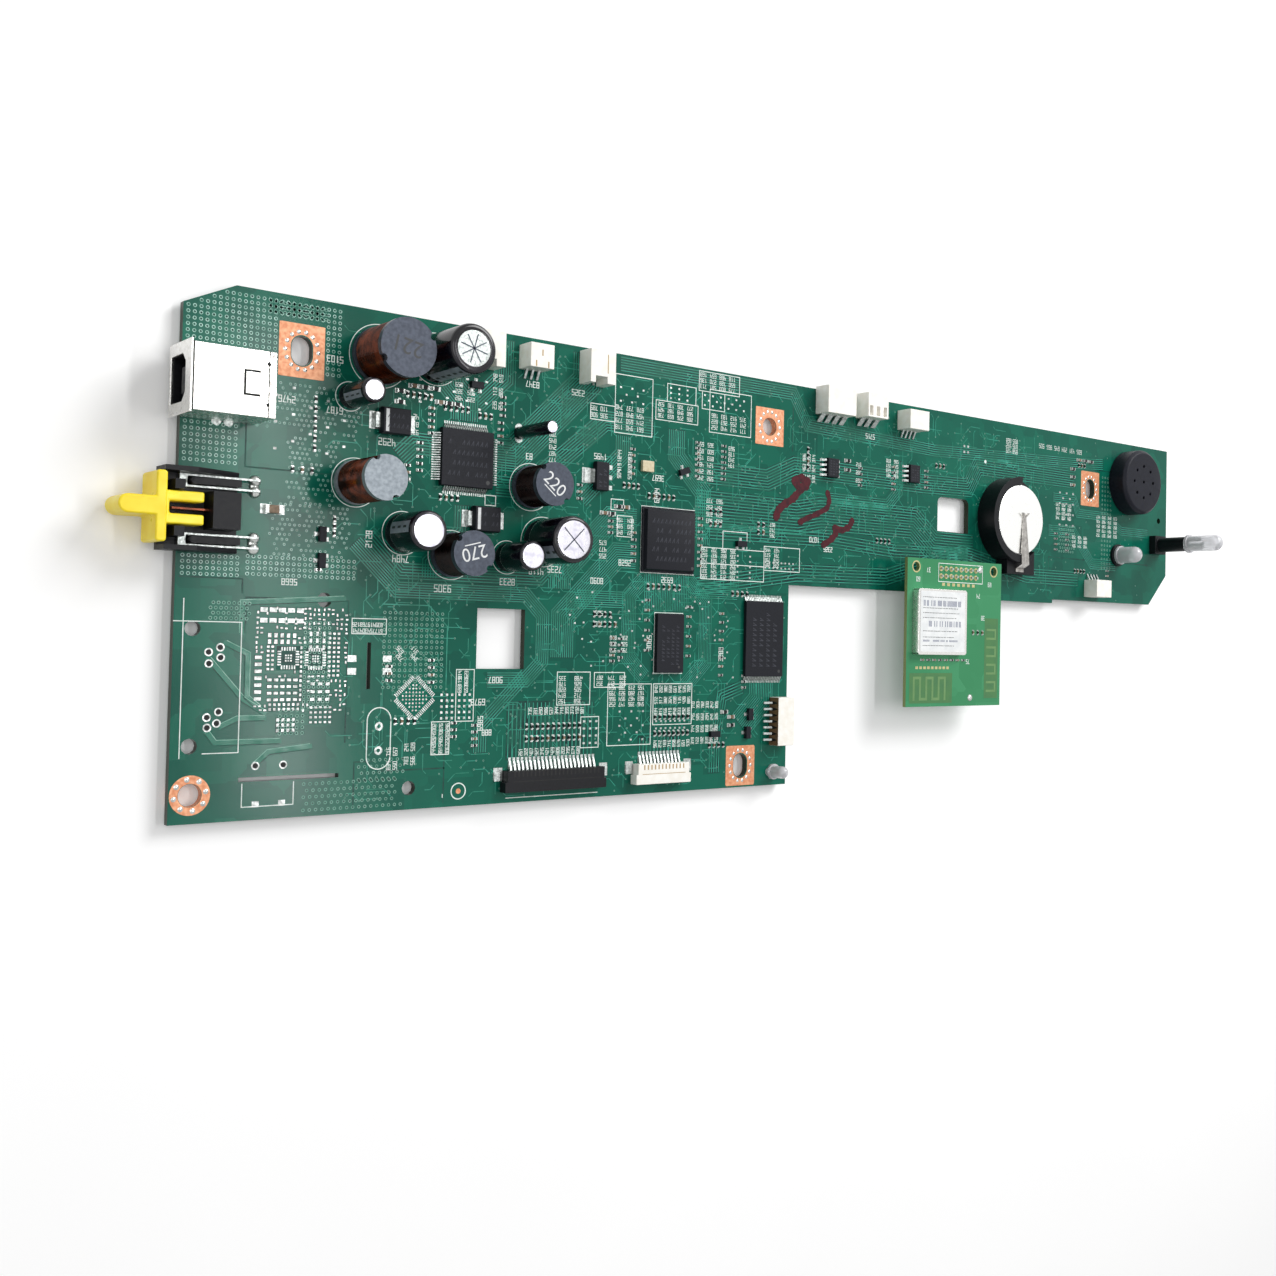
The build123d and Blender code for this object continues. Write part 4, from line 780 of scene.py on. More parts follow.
# Single part numbers: place, height and turn.
SINGLE_NUMBERS = [
    (53, 44.8, 1.4, 180), (68, 46.8, 1.3, 180), (75, 49.4, 1.3, 180), (79.6, 50, 1.3, 180),
    (90.6, 48, 1.2, 180), (84.6, 89.3, 1.2, 180), (73, 89.6, 1.2, 180), (40, 73.6, 1.3, 180),
    (28.8, 88.6, 1.2, 180), (29, 78.6, 1.2, 180), (35.5, 66.4, 1.2, 90), (36.8, 54, 1.2, 90),
    (43.6, 50.4, 1.3, 180), (62.5, 17, 1.1, 90), (65.8, 26, 1.2, 180), (61.8, 21.4, 1.2, 180),
    (64, 15, 1.1, 180), (110, 49, 1.2, 180), (105.3, 34.5, 1.2, 90), (80.6, 66.8, 1.2, 180),
    (106.8, 72.4, 1.2, 180), (106.6, 68.4, 1.2, 90), (72.6, 74, 1.2, 180), (90.8, 75.8, 1.2, 180),
    (98, 52.4, 1.2, 180), (155.8, 61.2, 1.2, 180), (160.6, 59, 1.1, 180), (175, 89.6, 1.2, 180),
    (21, 44.8, 1.1, 180), (19.5, 79.6, 1.2, 180), (136, 28, 1.2, 180), (126.4, 32, 1.2, 90),
]


def plated_pad(batch, x, y, half_x, half_y, hole_half, hole_run, z):
    """A flat rectangle round a slotted hole. Both outlines are read along the same rays.

    The rays are a hair off the axes, where half_y / sin a would divide by nothing.
    """
    angle = np.linspace(0, 2 * np.pi, 96, endpoint=False) + 1e-4
    c, s = np.abs(np.cos(angle)), np.abs(np.sin(angle))
    outer = np.minimum(half_x / c, half_y / s)
    side = hole_half / c
    end = hole_run * s + np.sqrt(np.maximum(hole_half ** 2 - (hole_run * c) ** 2, 0))
    inner = np.where(side * s <= hole_run, side, end)
    rim = np.stack([np.cos(angle), np.sin(angle)], axis=1)
    verts = np.vstack([rim * outer[:, None] + [x, y], rim * inner[:, None] + [x, y]])
    n = len(angle)
    i = np.arange(n)
    j = (i + 1) % n
    batch.add(np.column_stack([verts, np.full(2 * n, z)]), np.stack([i, j, j + n, i + n], axis=1))


def mounting_pads(batch, half_runs, z):
    """The four bare pads, whose holes have the given half runs, and the ring round the corner hole."""
    for (x0, x1, y0, y1), run in zip(PAD_FIELDS, half_runs):
        plated_pad(batch, (x0 + x1) / 2, (y0 + y1) / 2, (x1 - x0) / 2, (y1 - y0) / 2, SLOT_RADIUS, run, z)
    batch.add(*rounds([CORNER_HOLE], 3.65, z, 48, 2.15))


def make_tracks():
    """Bundles of tracks on their dark bands, and loose branches. Gives where a third of these end."""
    tracks, bands = Batch(), Batch()
    for points, count, pitch in BUNDLES:
        tracks.add(*strokes(bundle(points, count, pitch), min(0.24, pitch * 0.45), TRACK_Z))
        if count > 4:
            bands.add(*strokes(bundle(points, count, pitch), pitch * 1.02, TRACK_Z - 2 * BAR_STEP))
    bands.build("track_clearings", "deep", "solder_mask_green")
    # A branch runs along the board or across it, then bends by 45 degrees.
    ends = grid(34, 250, 2, 98, 2.3)
    ends = ends + RANDOM.uniform(-0.9, 0.9, ends.shape)
    ends = ends[on_board(ends, 1.2) & (RANDOM.random(len(ends)) < 0.5)]
    turn = RANDOM.integers(0, 4, len(ends)) * np.pi / 2
    bend = turn + RANDOM.choice([-1, 1], len(ends)) * np.pi / 4
    first = RANDOM.uniform(1.0, 5.0, len(ends))[:, None] * np.stack([np.cos(turn), np.sin(turn)], axis=1)
    second = RANDOM.uniform(0.8, 2.5, len(ends))[:, None] * np.stack([np.cos(bend), np.sin(bend)], axis=1)
    knee, tip = ends + first, ends + first + second
    keep = on_board(knee, 1.0) & on_board(tip, 1.0) & on_board((ends + knee) / 2, 1.0)
    for start, end in ((ends, knee), (knee, tip)):
        tracks.add(*strokes(np.hstack([start, end])[keep], 0.16, TRACK_Z - 0.004))
    tracks.build("tracks", "track", "solder_mask_green")
    return np.vstack([ends[keep][::3], tip[keep][::3]])


def make_wide_tracks():
    """Wide tracks with a lit and a shaded edge, and the lines where the copper is cut away."""
    ridges, lit, shaded, gaps = Batch(), Batch(), Batch(), Batch()
    for path in (((6.5, 30), (13, 22.5), (17, 20)), ((9.5, 33), (13.6, 31), (13.6, 23), (16, 21)),
                 ((6.5, 16.6), (8, 14.6), (20, 14.6)), ((15.6, 10.4), (18, 12.6), (26, 13.4)),
                 ((9, 17.6), (12, 19), (17, 19)), ((12.4, 35), (12.4, 40.6), (32, 42))):
        ridges.add(*strokes(runs(path), 0.9, TRACK_Z - 0.004))
        lit.add(*strokes(runs(offset_path(path, 0.5)), 0.14, TRACK_Z + BAR_STEP))
        shaded.add(*strokes(runs(offset_path(path, -0.5)), 0.16, TRACK_Z + BAR_STEP))
    for path in (((12.2, 42.5), (12.2, 45), (0.8, 45)), ((54.4, 1), (54.4, 24)), ((1.7, 12), (1.7, 41)),
                 ((35, 0.8), (35, 10), (39, 10)), ((13, 36.8), (13, 41.6), (33, 41.6), (33, 14)),
                 ((12, 74.6), (12, 66), (30, 66)), ((40, 8), (54.4, 8)), ((148, 83), (148, 98)),
                 ((215, 78), (222, 90), (300, 90)), ((250, 50.5), (250, 62), (300, 62))):
        gaps.add(*strokes(runs(path), 0.3, TRACK_Z - BAR_STEP))
    for batch, name, finish in ((ridges, "wide_tracks", "ridge"), (lit, "wide_track_lit_edges", "rim"),
                                (shaded, "wide_track_shaded_edges", "deep"), (gaps, "mask_gaps", "deep")):
        batch.build(name, finish, "solder_mask_green")


def make_vias(branch_ends):
    """Vias: fields of masked ones, loose ones, bright ones in the shield pours, and finer bright ones. The
    bright ones carry painted glare.
    """
    shields = [grid(0.9, 30, 85.4, 98.8, 1.15), grid(0.9, 11, 66.4, 73.6, 1.15),
               grid(1.2, 11.5, 45.6, 49, 1.1), grid(13, 34, 46, 49.4, 1.1)]
    fields = [grid(6.5, 14, 37.6, 40.6, 0.95, True), grid(25, 46, 1.2, 6.6, 1.25, True),
              grid(40.6, 53.6, 24.6, 40.4, 1.15), grid(24.5, 29.6, 21, 38, 0.95),
              grid(36, 45, 6.5, 10.5, 1.25, True), grid(16, 27, 96, 98.6, 0.9),
              grid(276, 281, 60, 88, 1.4), grid(255, 262, 64, 72, 1.1, True), grid(20, 25, 16, 21, 1.1)]
    scatter = grid(34, 300, 1.5, 98, 2.0)
    scatter = scatter + RANDOM.uniform(-0.8, 0.8, scatter.shape)
    scatter = np.vstack([scatter[RANDOM.random(len(scatter)) < 0.12], branch_ends])
    # Fine vias whose brightness is painted glare over the dense field.
    glinting_fine_vias = np.vstack([grid(14, 34, 74, 83, 0.95, True), grid(17, 33, 50, 60, 0.95, True),
                          grid(20, 30, 60, 73, 0.95, True)])
    glinting_fine_vias = glinting_fine_vias[RANDOM.random(len(glinting_fine_vias)) < 0.62]
    hole_share = 0.62
    rims, bright, holes = Batch(), Batch(), Batch()
    for batch, points, radius in ((rims, np.vstack(fields), 0.34), (rims, scatter, 0.2),
                                  (bright, np.vstack(shields), 0.36), (bright, glinting_fine_vias, 0.26)):
        points = points[on_board(points, 0.4)]
        batch.add(*rounds(points, radius, VIA_Z, 10, radius * hole_share))
        holes.add(*rounds(points, radius * hole_share, VIA_Z, 8))
    for batch, name, finish in ((rims, "vias", "rim"), (bright, "shield_vias_with_glare", "pale_via_rim_and_glare"),
                                (holes, "via_holes", "deep")):
        batch.build(name, finish, "solder_mask_green")


def make_bare_rings():
    """Bare copper round the mounting holes and in them, with dots of solder where screws bear."""
    bare, dots, lining = Batch(), Batch(), Batch()
    mounting_pads(bare, (SLOT_RUN, 0.0, SLOT_RUN, SLOT_RUN), PAD_Z)
    bare.add(*rounds([TARGET], 0.55, PAD_Z, 20))
    bare.build("bare_rings", "copper", "solder_mask_green")
    for x0, x1, y0, y1 in PAD_FIELDS:
        dots.add(*domes(circle((x0 + x1) / 2, (y0 + y1) / 2, 3.25, 3.7, 14), 0.42, 0.1, PAD_Z, 8, 3))
    dots.add(*domes(circle(*CORNER_HOLE, 2.9, 2.9, 8, 0.2), 0.5, 0.12, PAD_Z, 8, 3))
    dots.build("ring_solder_dots", "solder", "tinned_metal", True)
    for place, radius in ((CORNER_HOLE, 2.08), (LOCATING_HOLE, 2.13)):
        lining.add(*lathe([(radius, UNDERSIDE), (radius, 0.01)], *place, 48))
    lining.build("hole_plating", "copper", "solder_mask_green", True)


def make_board():
    """Solder mask, tracks, vias, and the bare rings of the mounting holes."""
    paint("mask", "main_board")
    branch_ends = make_tracks()
    make_wide_tracks()
    make_vias(branch_ends)
    make_bare_rings()


# Bare tinned lands with nothing on them, away from the framed ones: places and size of each.
LOOSE_LANDS = [
    ([(34.0, 30.3), (34.0, 27.8), (41.4, 30.3), (41.4, 27.8)], (1.8, 1.3)),
    ([(15.8, 2.9), (20.8, 2.9)], (1.3, 1.1)), (grid(42.5, 63, 82.6, 89.6, 1.5)[::3], (0.6, 0.4)),
    (grid(17.5, 33, 70, 83, 1.7)[::6], (0.6, 0.45)), (grid(96, 103.6, 89.0, 93.4, 1.55)[::2], (0.5, 0.42)),
    (grid(110, 116.8, 91.4, 94, 1.2)[::2], (0.5, 0.42)), (grid(120, 132.8, 91, 93.6, 1.2)[::2], (0.5, 0.42)),
    (grid(88.2, 91.4, 12.0, 17.2, 1.6), (0.6, 0.45)), (grid(57.5, 60.2, 18.2, 23, 1.2), (0.5, 0.5)),
    (grid(53.5, 56, 18.2, 23, 1.2), (0.5, 0.5)), (grid(107.8, 117.2, 16.4, 18.0, 1.35), (0.5, 0.42)),
    (grid(107.8, 117.2, 13.4, 14.8, 1.35), (0.5, 0.42)),
    (grid(97.6, 105.4, 12.4, 19.4, 1.6)[::2], (0.5, 0.42)),
    (grid(131, 138.6, 50.6, 56.6, 1.3)[::3], (0.5, 0.42)), (grid(139.8, 150, 53.4, 55.2, 1.3), (0.5, 0.42)),
    (grid(255, 262, 72, 82, 1.6)[::2], (0.8, 0.5)), (grid(212, 214, 89.4, 92.4, 1.6), (0.7, 0.6)),
]
# Lead holes of parts that aren't fitted.
EMPTY_HOLES = ((6.4, 31.3), (8.5, 32.2), (6.5, 29.2), (8.6, 30.3), (6.4, 19.3), (8.5, 20.3), (6.5, 17.4),
               (8.2, 18.2), (15.6, 10.1), (20.9, 10.1))


def free_pads():
    """Tinned lands of places with no part: framed rows, two chips, single ones, a diamond and lead holes."""
    pads, borders = Batch(), Batch()
    framed = [([(16.4 + k * 1.75, y) for k in range(5) for y in (37.4, 39.4)], (1.35, 0.85)),
              ([(15.6, y) for y in np.arange(22.6, 31.2, 1.3)], (1.3, 0.62)),
              (grid(17.6, 23.4, 33.4, 35.4, 1.2), (0.62, 0.8)),
              (grid(17.8, 24, 22.4, 27.2, 1.25), (0.8, 0.5)),
              (grid(25.6, 28.6, 32.4, 35.4, 1.3), (0.5, 0.8)),
              (grid(19.6, 22.8, 16.6, 19.4, 1.0), (0.55, 0.6)),
              (grid(26.2, 30, 22.4, 26, 1.5), (0.8, 0.55)), (grid(17.4, 19, 28.2, 32.6, 0.85), (0.5, 0.42)),
              (grid(23.8, 24.4, 22.4, 33, 0.9), (0.42, 0.5)), (grid(26.0, 30.6, 18, 21, 0.95), (0.5, 0.4)),
              (grid(29.4, 31.4, 27, 35.6, 0.9), (0.5, 0.42)), (grid(18, 24, 20.6, 21.6, 0.9), (0.45, 0.5))]
    for points, size in framed:
        pads.add(*bars(points, size, PAD_Z))
        borders.add(*bars(points, (size[0] + 0.3, size[1] + 0.3), TRACK_Z))
    # Lands of two small chips with leads on four sides, which aren't fitted.
    chip_places = ((21.3, 30.3), (26.6, 30.2))
    steps = (np.arange(6) - 2.5) * 0.5
    for x, y in chip_places:
        pads.add(*bars(np.array([(x, y)]) + grid(-0.5, 0.5, -0.5, 0.5, 0.5), (0.3, 0.3), PAD_Z))
        borders.add(*bars([(x, y)], (4.6, 4.6), TRACK_Z))
        for side in (-1.75, 1.75):
            pads.add(*bars(across(x, y, steps, side), (0.26, 0.7), PAD_Z))
            pads.add(*bars(across(x, y, side, steps), (0.7, 0.26), PAD_Z))
    # Single small lands in what room the rows leave.
    taken = np.vstack([np.asarray(points) for points, size in framed])
    single = grid(15.2, 33.2, 20.4, 40, 0.92)
    single = single + RANDOM.uniform(-0.12, 0.12, single.shape)
    apart = np.linalg.norm(single[:, None] - taken[None], axis=2).min(axis=1) > 0.85
    for place in chip_places:
        apart &= np.abs(single - place).max(axis=1) > 2.6
    single = single[apart & (RANDOM.random(len(single)) < 0.72)]
    wide = RANDOM.random(len(single)) < 0.5
    for points, size in ((single[wide], (0.52, 0.3)), (single[~wide], (0.3, 0.5))):
        pads.add(*bars(points, size, PAD_Z))
        borders.add(*bars(points, (size[0] + 0.26, size[1] + 0.26), TRACK_Z))
    borders.build("pad_borders", "deep", "solder_mask_green")
    for points, size in LOOSE_LANDS:
        pads.add(*bars(points, size, PAD_Z))
    spots = grid(84, 134, 27, 47, 1.9)
    spots = spots + RANDOM.uniform(-0.7, 0.7, spots.shape)
    spots = spots[RANDOM.random(len(spots)) < 0.2]
    pads.add(*bars(spots, (0.45, 0.4), PAD_Z))
    # A diamond of round balls' lands where a small chip isn't fitted, and a row along each of its sides.
    diamond = (47.5, 22.5)
    pads.add(*bars((grid(-2.1, 2.1, -2.1, 2.1, 0.52) @ spin(45) + diamond)[1::2], (0.3, 0.3), PAD_Z, 45))
    row = np.arange(-2.6, 2.7, 0.4)
    for side in (-3.2, 3.2):
        pads.add(*bars(across(0, 0, row, side) @ spin(45) + diamond, (0.2, 0.9), PAD_Z, 45))
        pads.add(*bars(across(0, 0, side, row) @ spin(45) + diamond, (0.9, 0.2), PAD_Z, 45))
    pads.build("free_pads", "tin", "tinned_metal")

    lands = Batch()
    lands.add(*rounds(EMPTY_HOLES, 0.78, PAD_Z, 20, 0.52))
    lands.add(*rounds([(40.0, 16.9), (40.0, 12.1)], 0.85, PAD_Z, 20, 0.4))
    lands.build("empty_lands", "tin", "tinned_metal")
    # A dark disc in each empty hole is painted shade.
    piece("empty_hole_shade", *rounds(EMPTY_HOLES, 0.53, PAD_Z - 0.004, 16), "dark", "black_plastic")


def make_print():
    """White screened ink: part outlines, plain numbers, and rings round the cans and drums."""
    lines = [outline(*box) for box in INK_BOXES]
    lines.append([(1.7, 12, 1.7, 41), (12.3, 12.7, 12.3, 36.9), (0, 36.9, 12.3, 36.9),
                  (5.8, 12.7, 12.3, 12.7), (13.2, 2.5, 13.2, 6.8), (13.2, 2.5, 23, 2.5), (23, 2.5, 23, 6.8),
                  (54.2, 2.0, 54.2, 2.6), (69, 1.0, 92, 1.0)])
    text, loose = [], []
    for x0, x1, y0, y1, dx, dy, height, turn in NUMBER_FIELDS:
        for x, y in grid(x0, x1, y0, y1, (dx, dy)):
            text.append(number_strokes(RANDOM.integers(100, 999), x, y, height * 0.92, turn))
    for x, y, height, turn in SINGLE_NUMBERS:
        loose.append(number_strokes(RANDOM.integers(10, 9999), x, y, height, turn))
    ink = Batch()
    ink.add(*strokes(np.vstack(lines), 0.18, INK_Z))
    ink.add(*strokes(np.vstack(text), 0.12, INK_Z))
    ink.add(*strokes(np.vstack(loose), 0.17, INK_Z))
    for x, from_back, radius in PRINTED_RINGS:
        ink.add(*rounds([(x, BOARD_DEPTH - from_back)], radius + 0.16, INK_Z, 64, radius))
    # The outline of a part that stands on two leads: two sides and two half circles.
    middle, reach, low, high = 40, 2.5, 10.9, 18.1
    for side in (-reach, reach):
        ink.add(*strokes([(middle + side, low, middle + side, high)], 0.22, INK_Z))
    angle = np.linspace(0, np.pi, 17)
    for y, sign in ((high, 1), (low, -1)):
        arc = np.stack([middle + reach * np.cos(angle), y + sign * reach * np.sin(angle)], axis=1)
        ink.add(*strokes(runs(arc), 0.22, INK_Z))
    ink.add(*rounds([TARGET], 1.75, INK_Z, 32, 1.5))
    ink.add(*rounds([(221, 87.5)], 0.5, INK_Z, 16))
    ink.build("screen_print", "ink", "white_plastic")


def make_marker():
    """Hand-drawn strokes of dark red marker. Overlapping dabs along a path give the uneven width."""
    level, rise = 0.05, 0.0002  # each dab lies over the one before
    strokes_of_ink = [
        (((153.6, 74.6), (150.6, 74.2), (148.6, 75.4), (150.8, 76.6), (153.6, 75.8), (151.0, 73.6),
          (148.4, 71.0), (145.2, 69.2), (143.4, 67.6), (142.9, 65.6)), 1.9),
        (((160.0, 74.0), (160.9, 71.8), (160.2, 69.6), (156.6, 67.8), (153.0, 66.4), (150.2, 65.0)), 1.4),
        (((169.2, 67.4), (168.2, 65.4), (165.6, 64.2), (162.8, 64.8), (163.4, 63.2), (161.4, 61.4),
          (158.4, 59.8)), 1.6),
    ]
    batch = Batch()
    for points, width in strokes_of_ink:
        p = np.asarray(points, dtype=float)
        t = np.linspace(0, len(p) - 1, 30 * len(p))
        path = np.stack([np.interp(t, np.arange(len(p)), p[:, k]) for k in (0, 1)], axis=1)
        smooth = np.ones(15) / 15
        inner = np.stack([np.convolve(path[:, k], smooth, "valid") for k in (0, 1)], axis=1)
        for number, dab in enumerate(inner):
            wave = 1 + 0.12 * math.sin(number * 0.21) + 0.08 * math.sin(number * 0.53)
            batch.add(*rounds([dab], width / 2 * wave, level + rise * number, 14))
    batch.build("marker_strokes", "marker", "chip_black")


# ---------- small parts

# Chip resistors and capacitors of 1.0 x 0.5 mm: first place, step, count, turn and kind.
SMALL_ROWS = [
    (73.6, 16, 1.34, 0, 11, 90, "glaze"), (73.6, 13.4, 1.34, 0, 11, 90, "ceramic"),
    (107.4, 17.4, 1.35, 0, 8, 90, "glaze"), (107.4, 13.6, 1.35, 0, 8, 90, "glaze"),
    (118.2, 73.9, 0, 1.33, 7, 0, "ceramic"), (126, 73.9, 0, 1.33, 7, 0, "glaze"),
    (122.4, 63, 1.5, 0, 3, 90, "ceramic"), (122.4, 66, 1.5, 0, 3, 90, "glaze"),
    (137.3, 62, 1.6, 0, 2, 90, "ceramic"), (137.3, 63.8, 1.6, 0, 2, 90, "glaze"),
    (95.2, 30.2, 0, 1.3, 5, 0, "ceramic"), (97.4, 31, 0, 1.4, 4, 0, "glaze"),
    (90.2, 38.4, 1.4, 0, 5, 90, "ceramic"), (90.2, 40.6, 1.4, 0, 4, 90, "glaze"),
    (44.2, 83.8, 1.3, 0, 5, 90, "ceramic"), (52.6, 82.2, 1.3, 0, 5, 90, "glaze"),
    (49.6, 76.4, 0, 1.3, 5, 0, "ceramic"), (47.2, 68.6, 0, 1.4, 5, 0, "glaze"),
    (65.6, 76.2, 0, 1.4, 4, 0, "ceramic"), (66, 82, 0, 1.3, 4, 0, "glaze"),
    (52, 63.6, 1.3, 0, 4, 90, "ceramic"), (60.6, 81.4, 1.3, 0, 3, 90, "ceramic"),
    (99.6, 78.4, 0, -1.4, 5, 0, "ceramic"), (97.4, 70, 1.3, 0, 4, 90, "ceramic"),
    (85.6, 66, 0, 1.5, 3, 0, "ceramic"), (94, 59, 0, 1.3, 4, 0, "ceramic"),
    (104.4, 68.2, 1.4, 0, 6, 90, "ceramic"), (119.4, 64, 0, -1.6, 8, 0, "ceramic"),
    (100.4, 53, 0, 1.6, 5, 0, "ceramic"), (104.6, 47.4, 1.5, 0, 7, 90, "ceramic"),
    (104.6, 44.2, 0, -2.3, 6, 0, "ceramic"), (116.6, 43, 0, -2.3, 6, 0, "ceramic"),
    (126.4, 27, 0, 2.1, 8, 0, "ceramic"), (129.6, 46.6, 1.5, 0, 4, 90, "ceramic"),
    (133.6, 24, 0, 1.4, 3, 0, "glaze"), (41.8, 26, 0, 1.4, 3, 0, "ceramic"),
    (43.4, 17.8, 1.4, 0, 4, 90, "ceramic"), (51, 25.6, 0, 1.5, 4, 0, "ceramic"),
    (56.4, 14.4, 0, 1.4, 3, 0, "glaze"), (61.2, 12.4, 0, 1.4, 4, 0, "ceramic"),
    (123.4, 10.4, 1.4, 0, 4, 90, "ceramic"), (153.2, 79.4, 0, 1.5, 4, 90, "ceramic"),
    (171.6, 76.4, 0, 1.5, 4, 0, "ceramic"), (184, 76.4, 0, 1.5, 5, 0, "ceramic"),
    (196.6, 78, 0, 1.5, 4, 0, "ceramic"), (178.2, 62.4, 1.5, 0, 4, 90, "glaze"),
    (253.2, 64.4, 0, 1.6, 4, 0, "ceramic"), (258.6, 64.4, 0, 1.6, 4, 0, "glaze"),
    (262.6, 58.4, 1.5, 0, 4, 90, "ceramic"), (278.8, 56, 0, 1.6, 3, 0, "ceramic"),
    (264, 90.6, 1.4, 0, 3, 90, "ceramic"), (200.6, 84.4, 1.5, 0, 3, 90, "ceramic"),
    (25.2, 70.8, 0, 1.9, 6, 90, "glaze"), (21, 66.4, 1.9, 0, 3, 90, "ceramic"),
    (26.6, 47.4, 0, 1.6, 2, 0, "glaze"), (44.6, 66.6, 0, 1.4, 3, 0, "ceramic"),
    (29.6, 54.6, 0, 1.4, 3, 90, "glaze"),
]
SMALL_SIZE = (1.0, 0.5, 0.35)


class PartTray:
    """Gathers leadless parts on a face at some level: a body and two tinned ends each."""

    def __init__(self, level):
        self.level = level
        self.batches = {"tin": Batch(), "ceramic": Batch(), "glaze": Batch(), "pad": Batch()}

    def place(self, x, y, size, turn, kind):
        """Sets one part on its two pads. Each end takes a fifth of its length."""
        length, width, height = size
        foot = self.level + FOOT_Z
        along = spin(turn)[0]
        body = (length * 0.6, width * 0.96, height * 0.97)
        self.batches[kind].add(*blocks([(x, y)], body, foot, turn, 0.96))
        ends = np.array([x, y]) + np.outer([-0.4, 0.4], along) * length
        self.batches["tin"].add(*blocks(ends, (length * 0.2, width, height), foot, turn, 0.94))
        pads = np.array([x, y]) + np.outer([-0.52, 0.52], along) * length
        self.batches["pad"].add(*bars(pads, (length * 0.42, width * 1.15), self.level + PAD_Z, turn))

    def build(self, name):
        self.batches["ceramic"].build(f"{name}_ceramic", "ceramic", "ceramic")
        self.batches["glaze"].build(f"{name}_glaze", "glaze", "chip_black")
        self.batches["tin"].build(f"{name}_ends", "solder", "tinned_metal")
        self.batches["pad"].build(f"{name}_pads", "tin", "tinned_metal")


def make_small_parts():
    """Chip resistors and capacitors, and the legs of the three-leg packages."""
    tray = PartTray(0.0)
    for x, y, dx, dy, count, turn, kind in SMALL_ROWS:
        for index in range(count):
            tray.place(x + index * dx, y + index * dy, SMALL_SIZE, turn, kind if index % 3 == 1 else "glaze")
    for number, (low, high) in enumerate(solids("chip_parts")):
        (x, y, _), size = (low + high) / 2, high - low
        tray.place(x, y, tuple(size), 0, "glaze" if number % 3 else "ceramic")
    tray.build("small_parts")
    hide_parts("chip_parts")

    dressed("transistors", "epoxy", 0.08)
    legs = Batch()
    for low, high in solids("transistors"):
        (x, y, _), (length, width, _) = (low + high) / 2, high - low
        # The one package that stands askew has a wide box.
        turn = 20 if min(length, width) > 1.8 else 0 if length > width else 90
        places = np.array([(-0.95, -1.0), (0.95, -1.0), (0.0, 1.0)]) @ spin(turn) + [x, y]
        legs.add(*blocks(places, (0.42, 0.75, 0.2), FOOT_Z, turn))
        legs.add(*bars(places, (0.8, 1.0), PAD_Z, turn))
    legs.build("transistor_legs", "tin", "tinned_metal")


# ---------- ports

def make_ports():
    """The USB shell with its folds, and the power inlet with its key and solder."""
    dressed("usb_shell", "steel", 0.14, 3)
    dressed("usb_insulator", "black", 0.1)
    paint("tin", "usb_contacts")
    springs = dressed("inlet_contacts", "tin", 0.04)
    dressed("inlet_housing", "black", 0.18)
    dressed("inlet_key", "yellow", 0.4, 3)
    middle, size = centre("usb_shell")
    seam = Batch()
    # The front plate's lip stands proud of the shell all round, and the rear plate folds over the top.
    lip = 0.5
    x, y, top = middle[0], middle[1], middle[2] + size[2] / 2 - lip
    front, rear, half = x - size[0] / 2, x + size[0] / 2, size[1] / 2 - lip - 0.1
    # Dark lines along the folds and the rear seam, and dark dots over two small holes, are painted shade.
    for side in (-5.2, 5.2):
        seam.add(*strokes([(rear - 0.9, y + side, rear - 0.05, y + side)], 0.12, top + MARK_LIFT))
    for x, width in ((front + 0.62, 0.34), (rear - 1.4, 0.2)):
        seam.add(*strokes([(x, y - half, x, y + half)], width, top + MARK_LIFT))
    seam.add(*rounds([(rear - 1.5, y - 3.7), (rear - 1.5, y + 3.7)], 0.36, top + 0.014, 12))
    seam.build("usb_shell_seam_shade", "dark", "plated_steel")
    # The rear fold is painted the darker steel: painted shade and dark reflection on the folded plate.
    fold = bars([(rear - 0.75, y)], (1.16, 2 * half), top + 0.008)
    piece("usb_rear_fold", *fold, "spring", "plated_steel")
    contacts, extent = centre("inlet_contacts")
    tails = contacts[0] + extent[0] / 2 - 0.4
    blobs = Batch()
    # The outer contacts have wide tails in solder, and the inner one is a bare spring of copper colour.
    for low, high in solids("inlet_contacts"):
        y = (low[1] + high[1]) / 2
        if abs(y - contacts[1]) > 2:
            ends = [(tails, y - 1.0), (tails, y + 1.0)]
            blobs.add(*domes(ends, 1.15, 1.0, 0.02, 20, 6))
            blobs.add(*domes([(tails - 0.1, y)], 1.0, 0.55, 0.02, 20, 5))
        else:
            second_finish(springs, "wire", (low - 0.1, high + 0.1))
    blobs.build("inlet_solder", "solder", "tinned_metal", True)


# ---------- chokes and capacitors

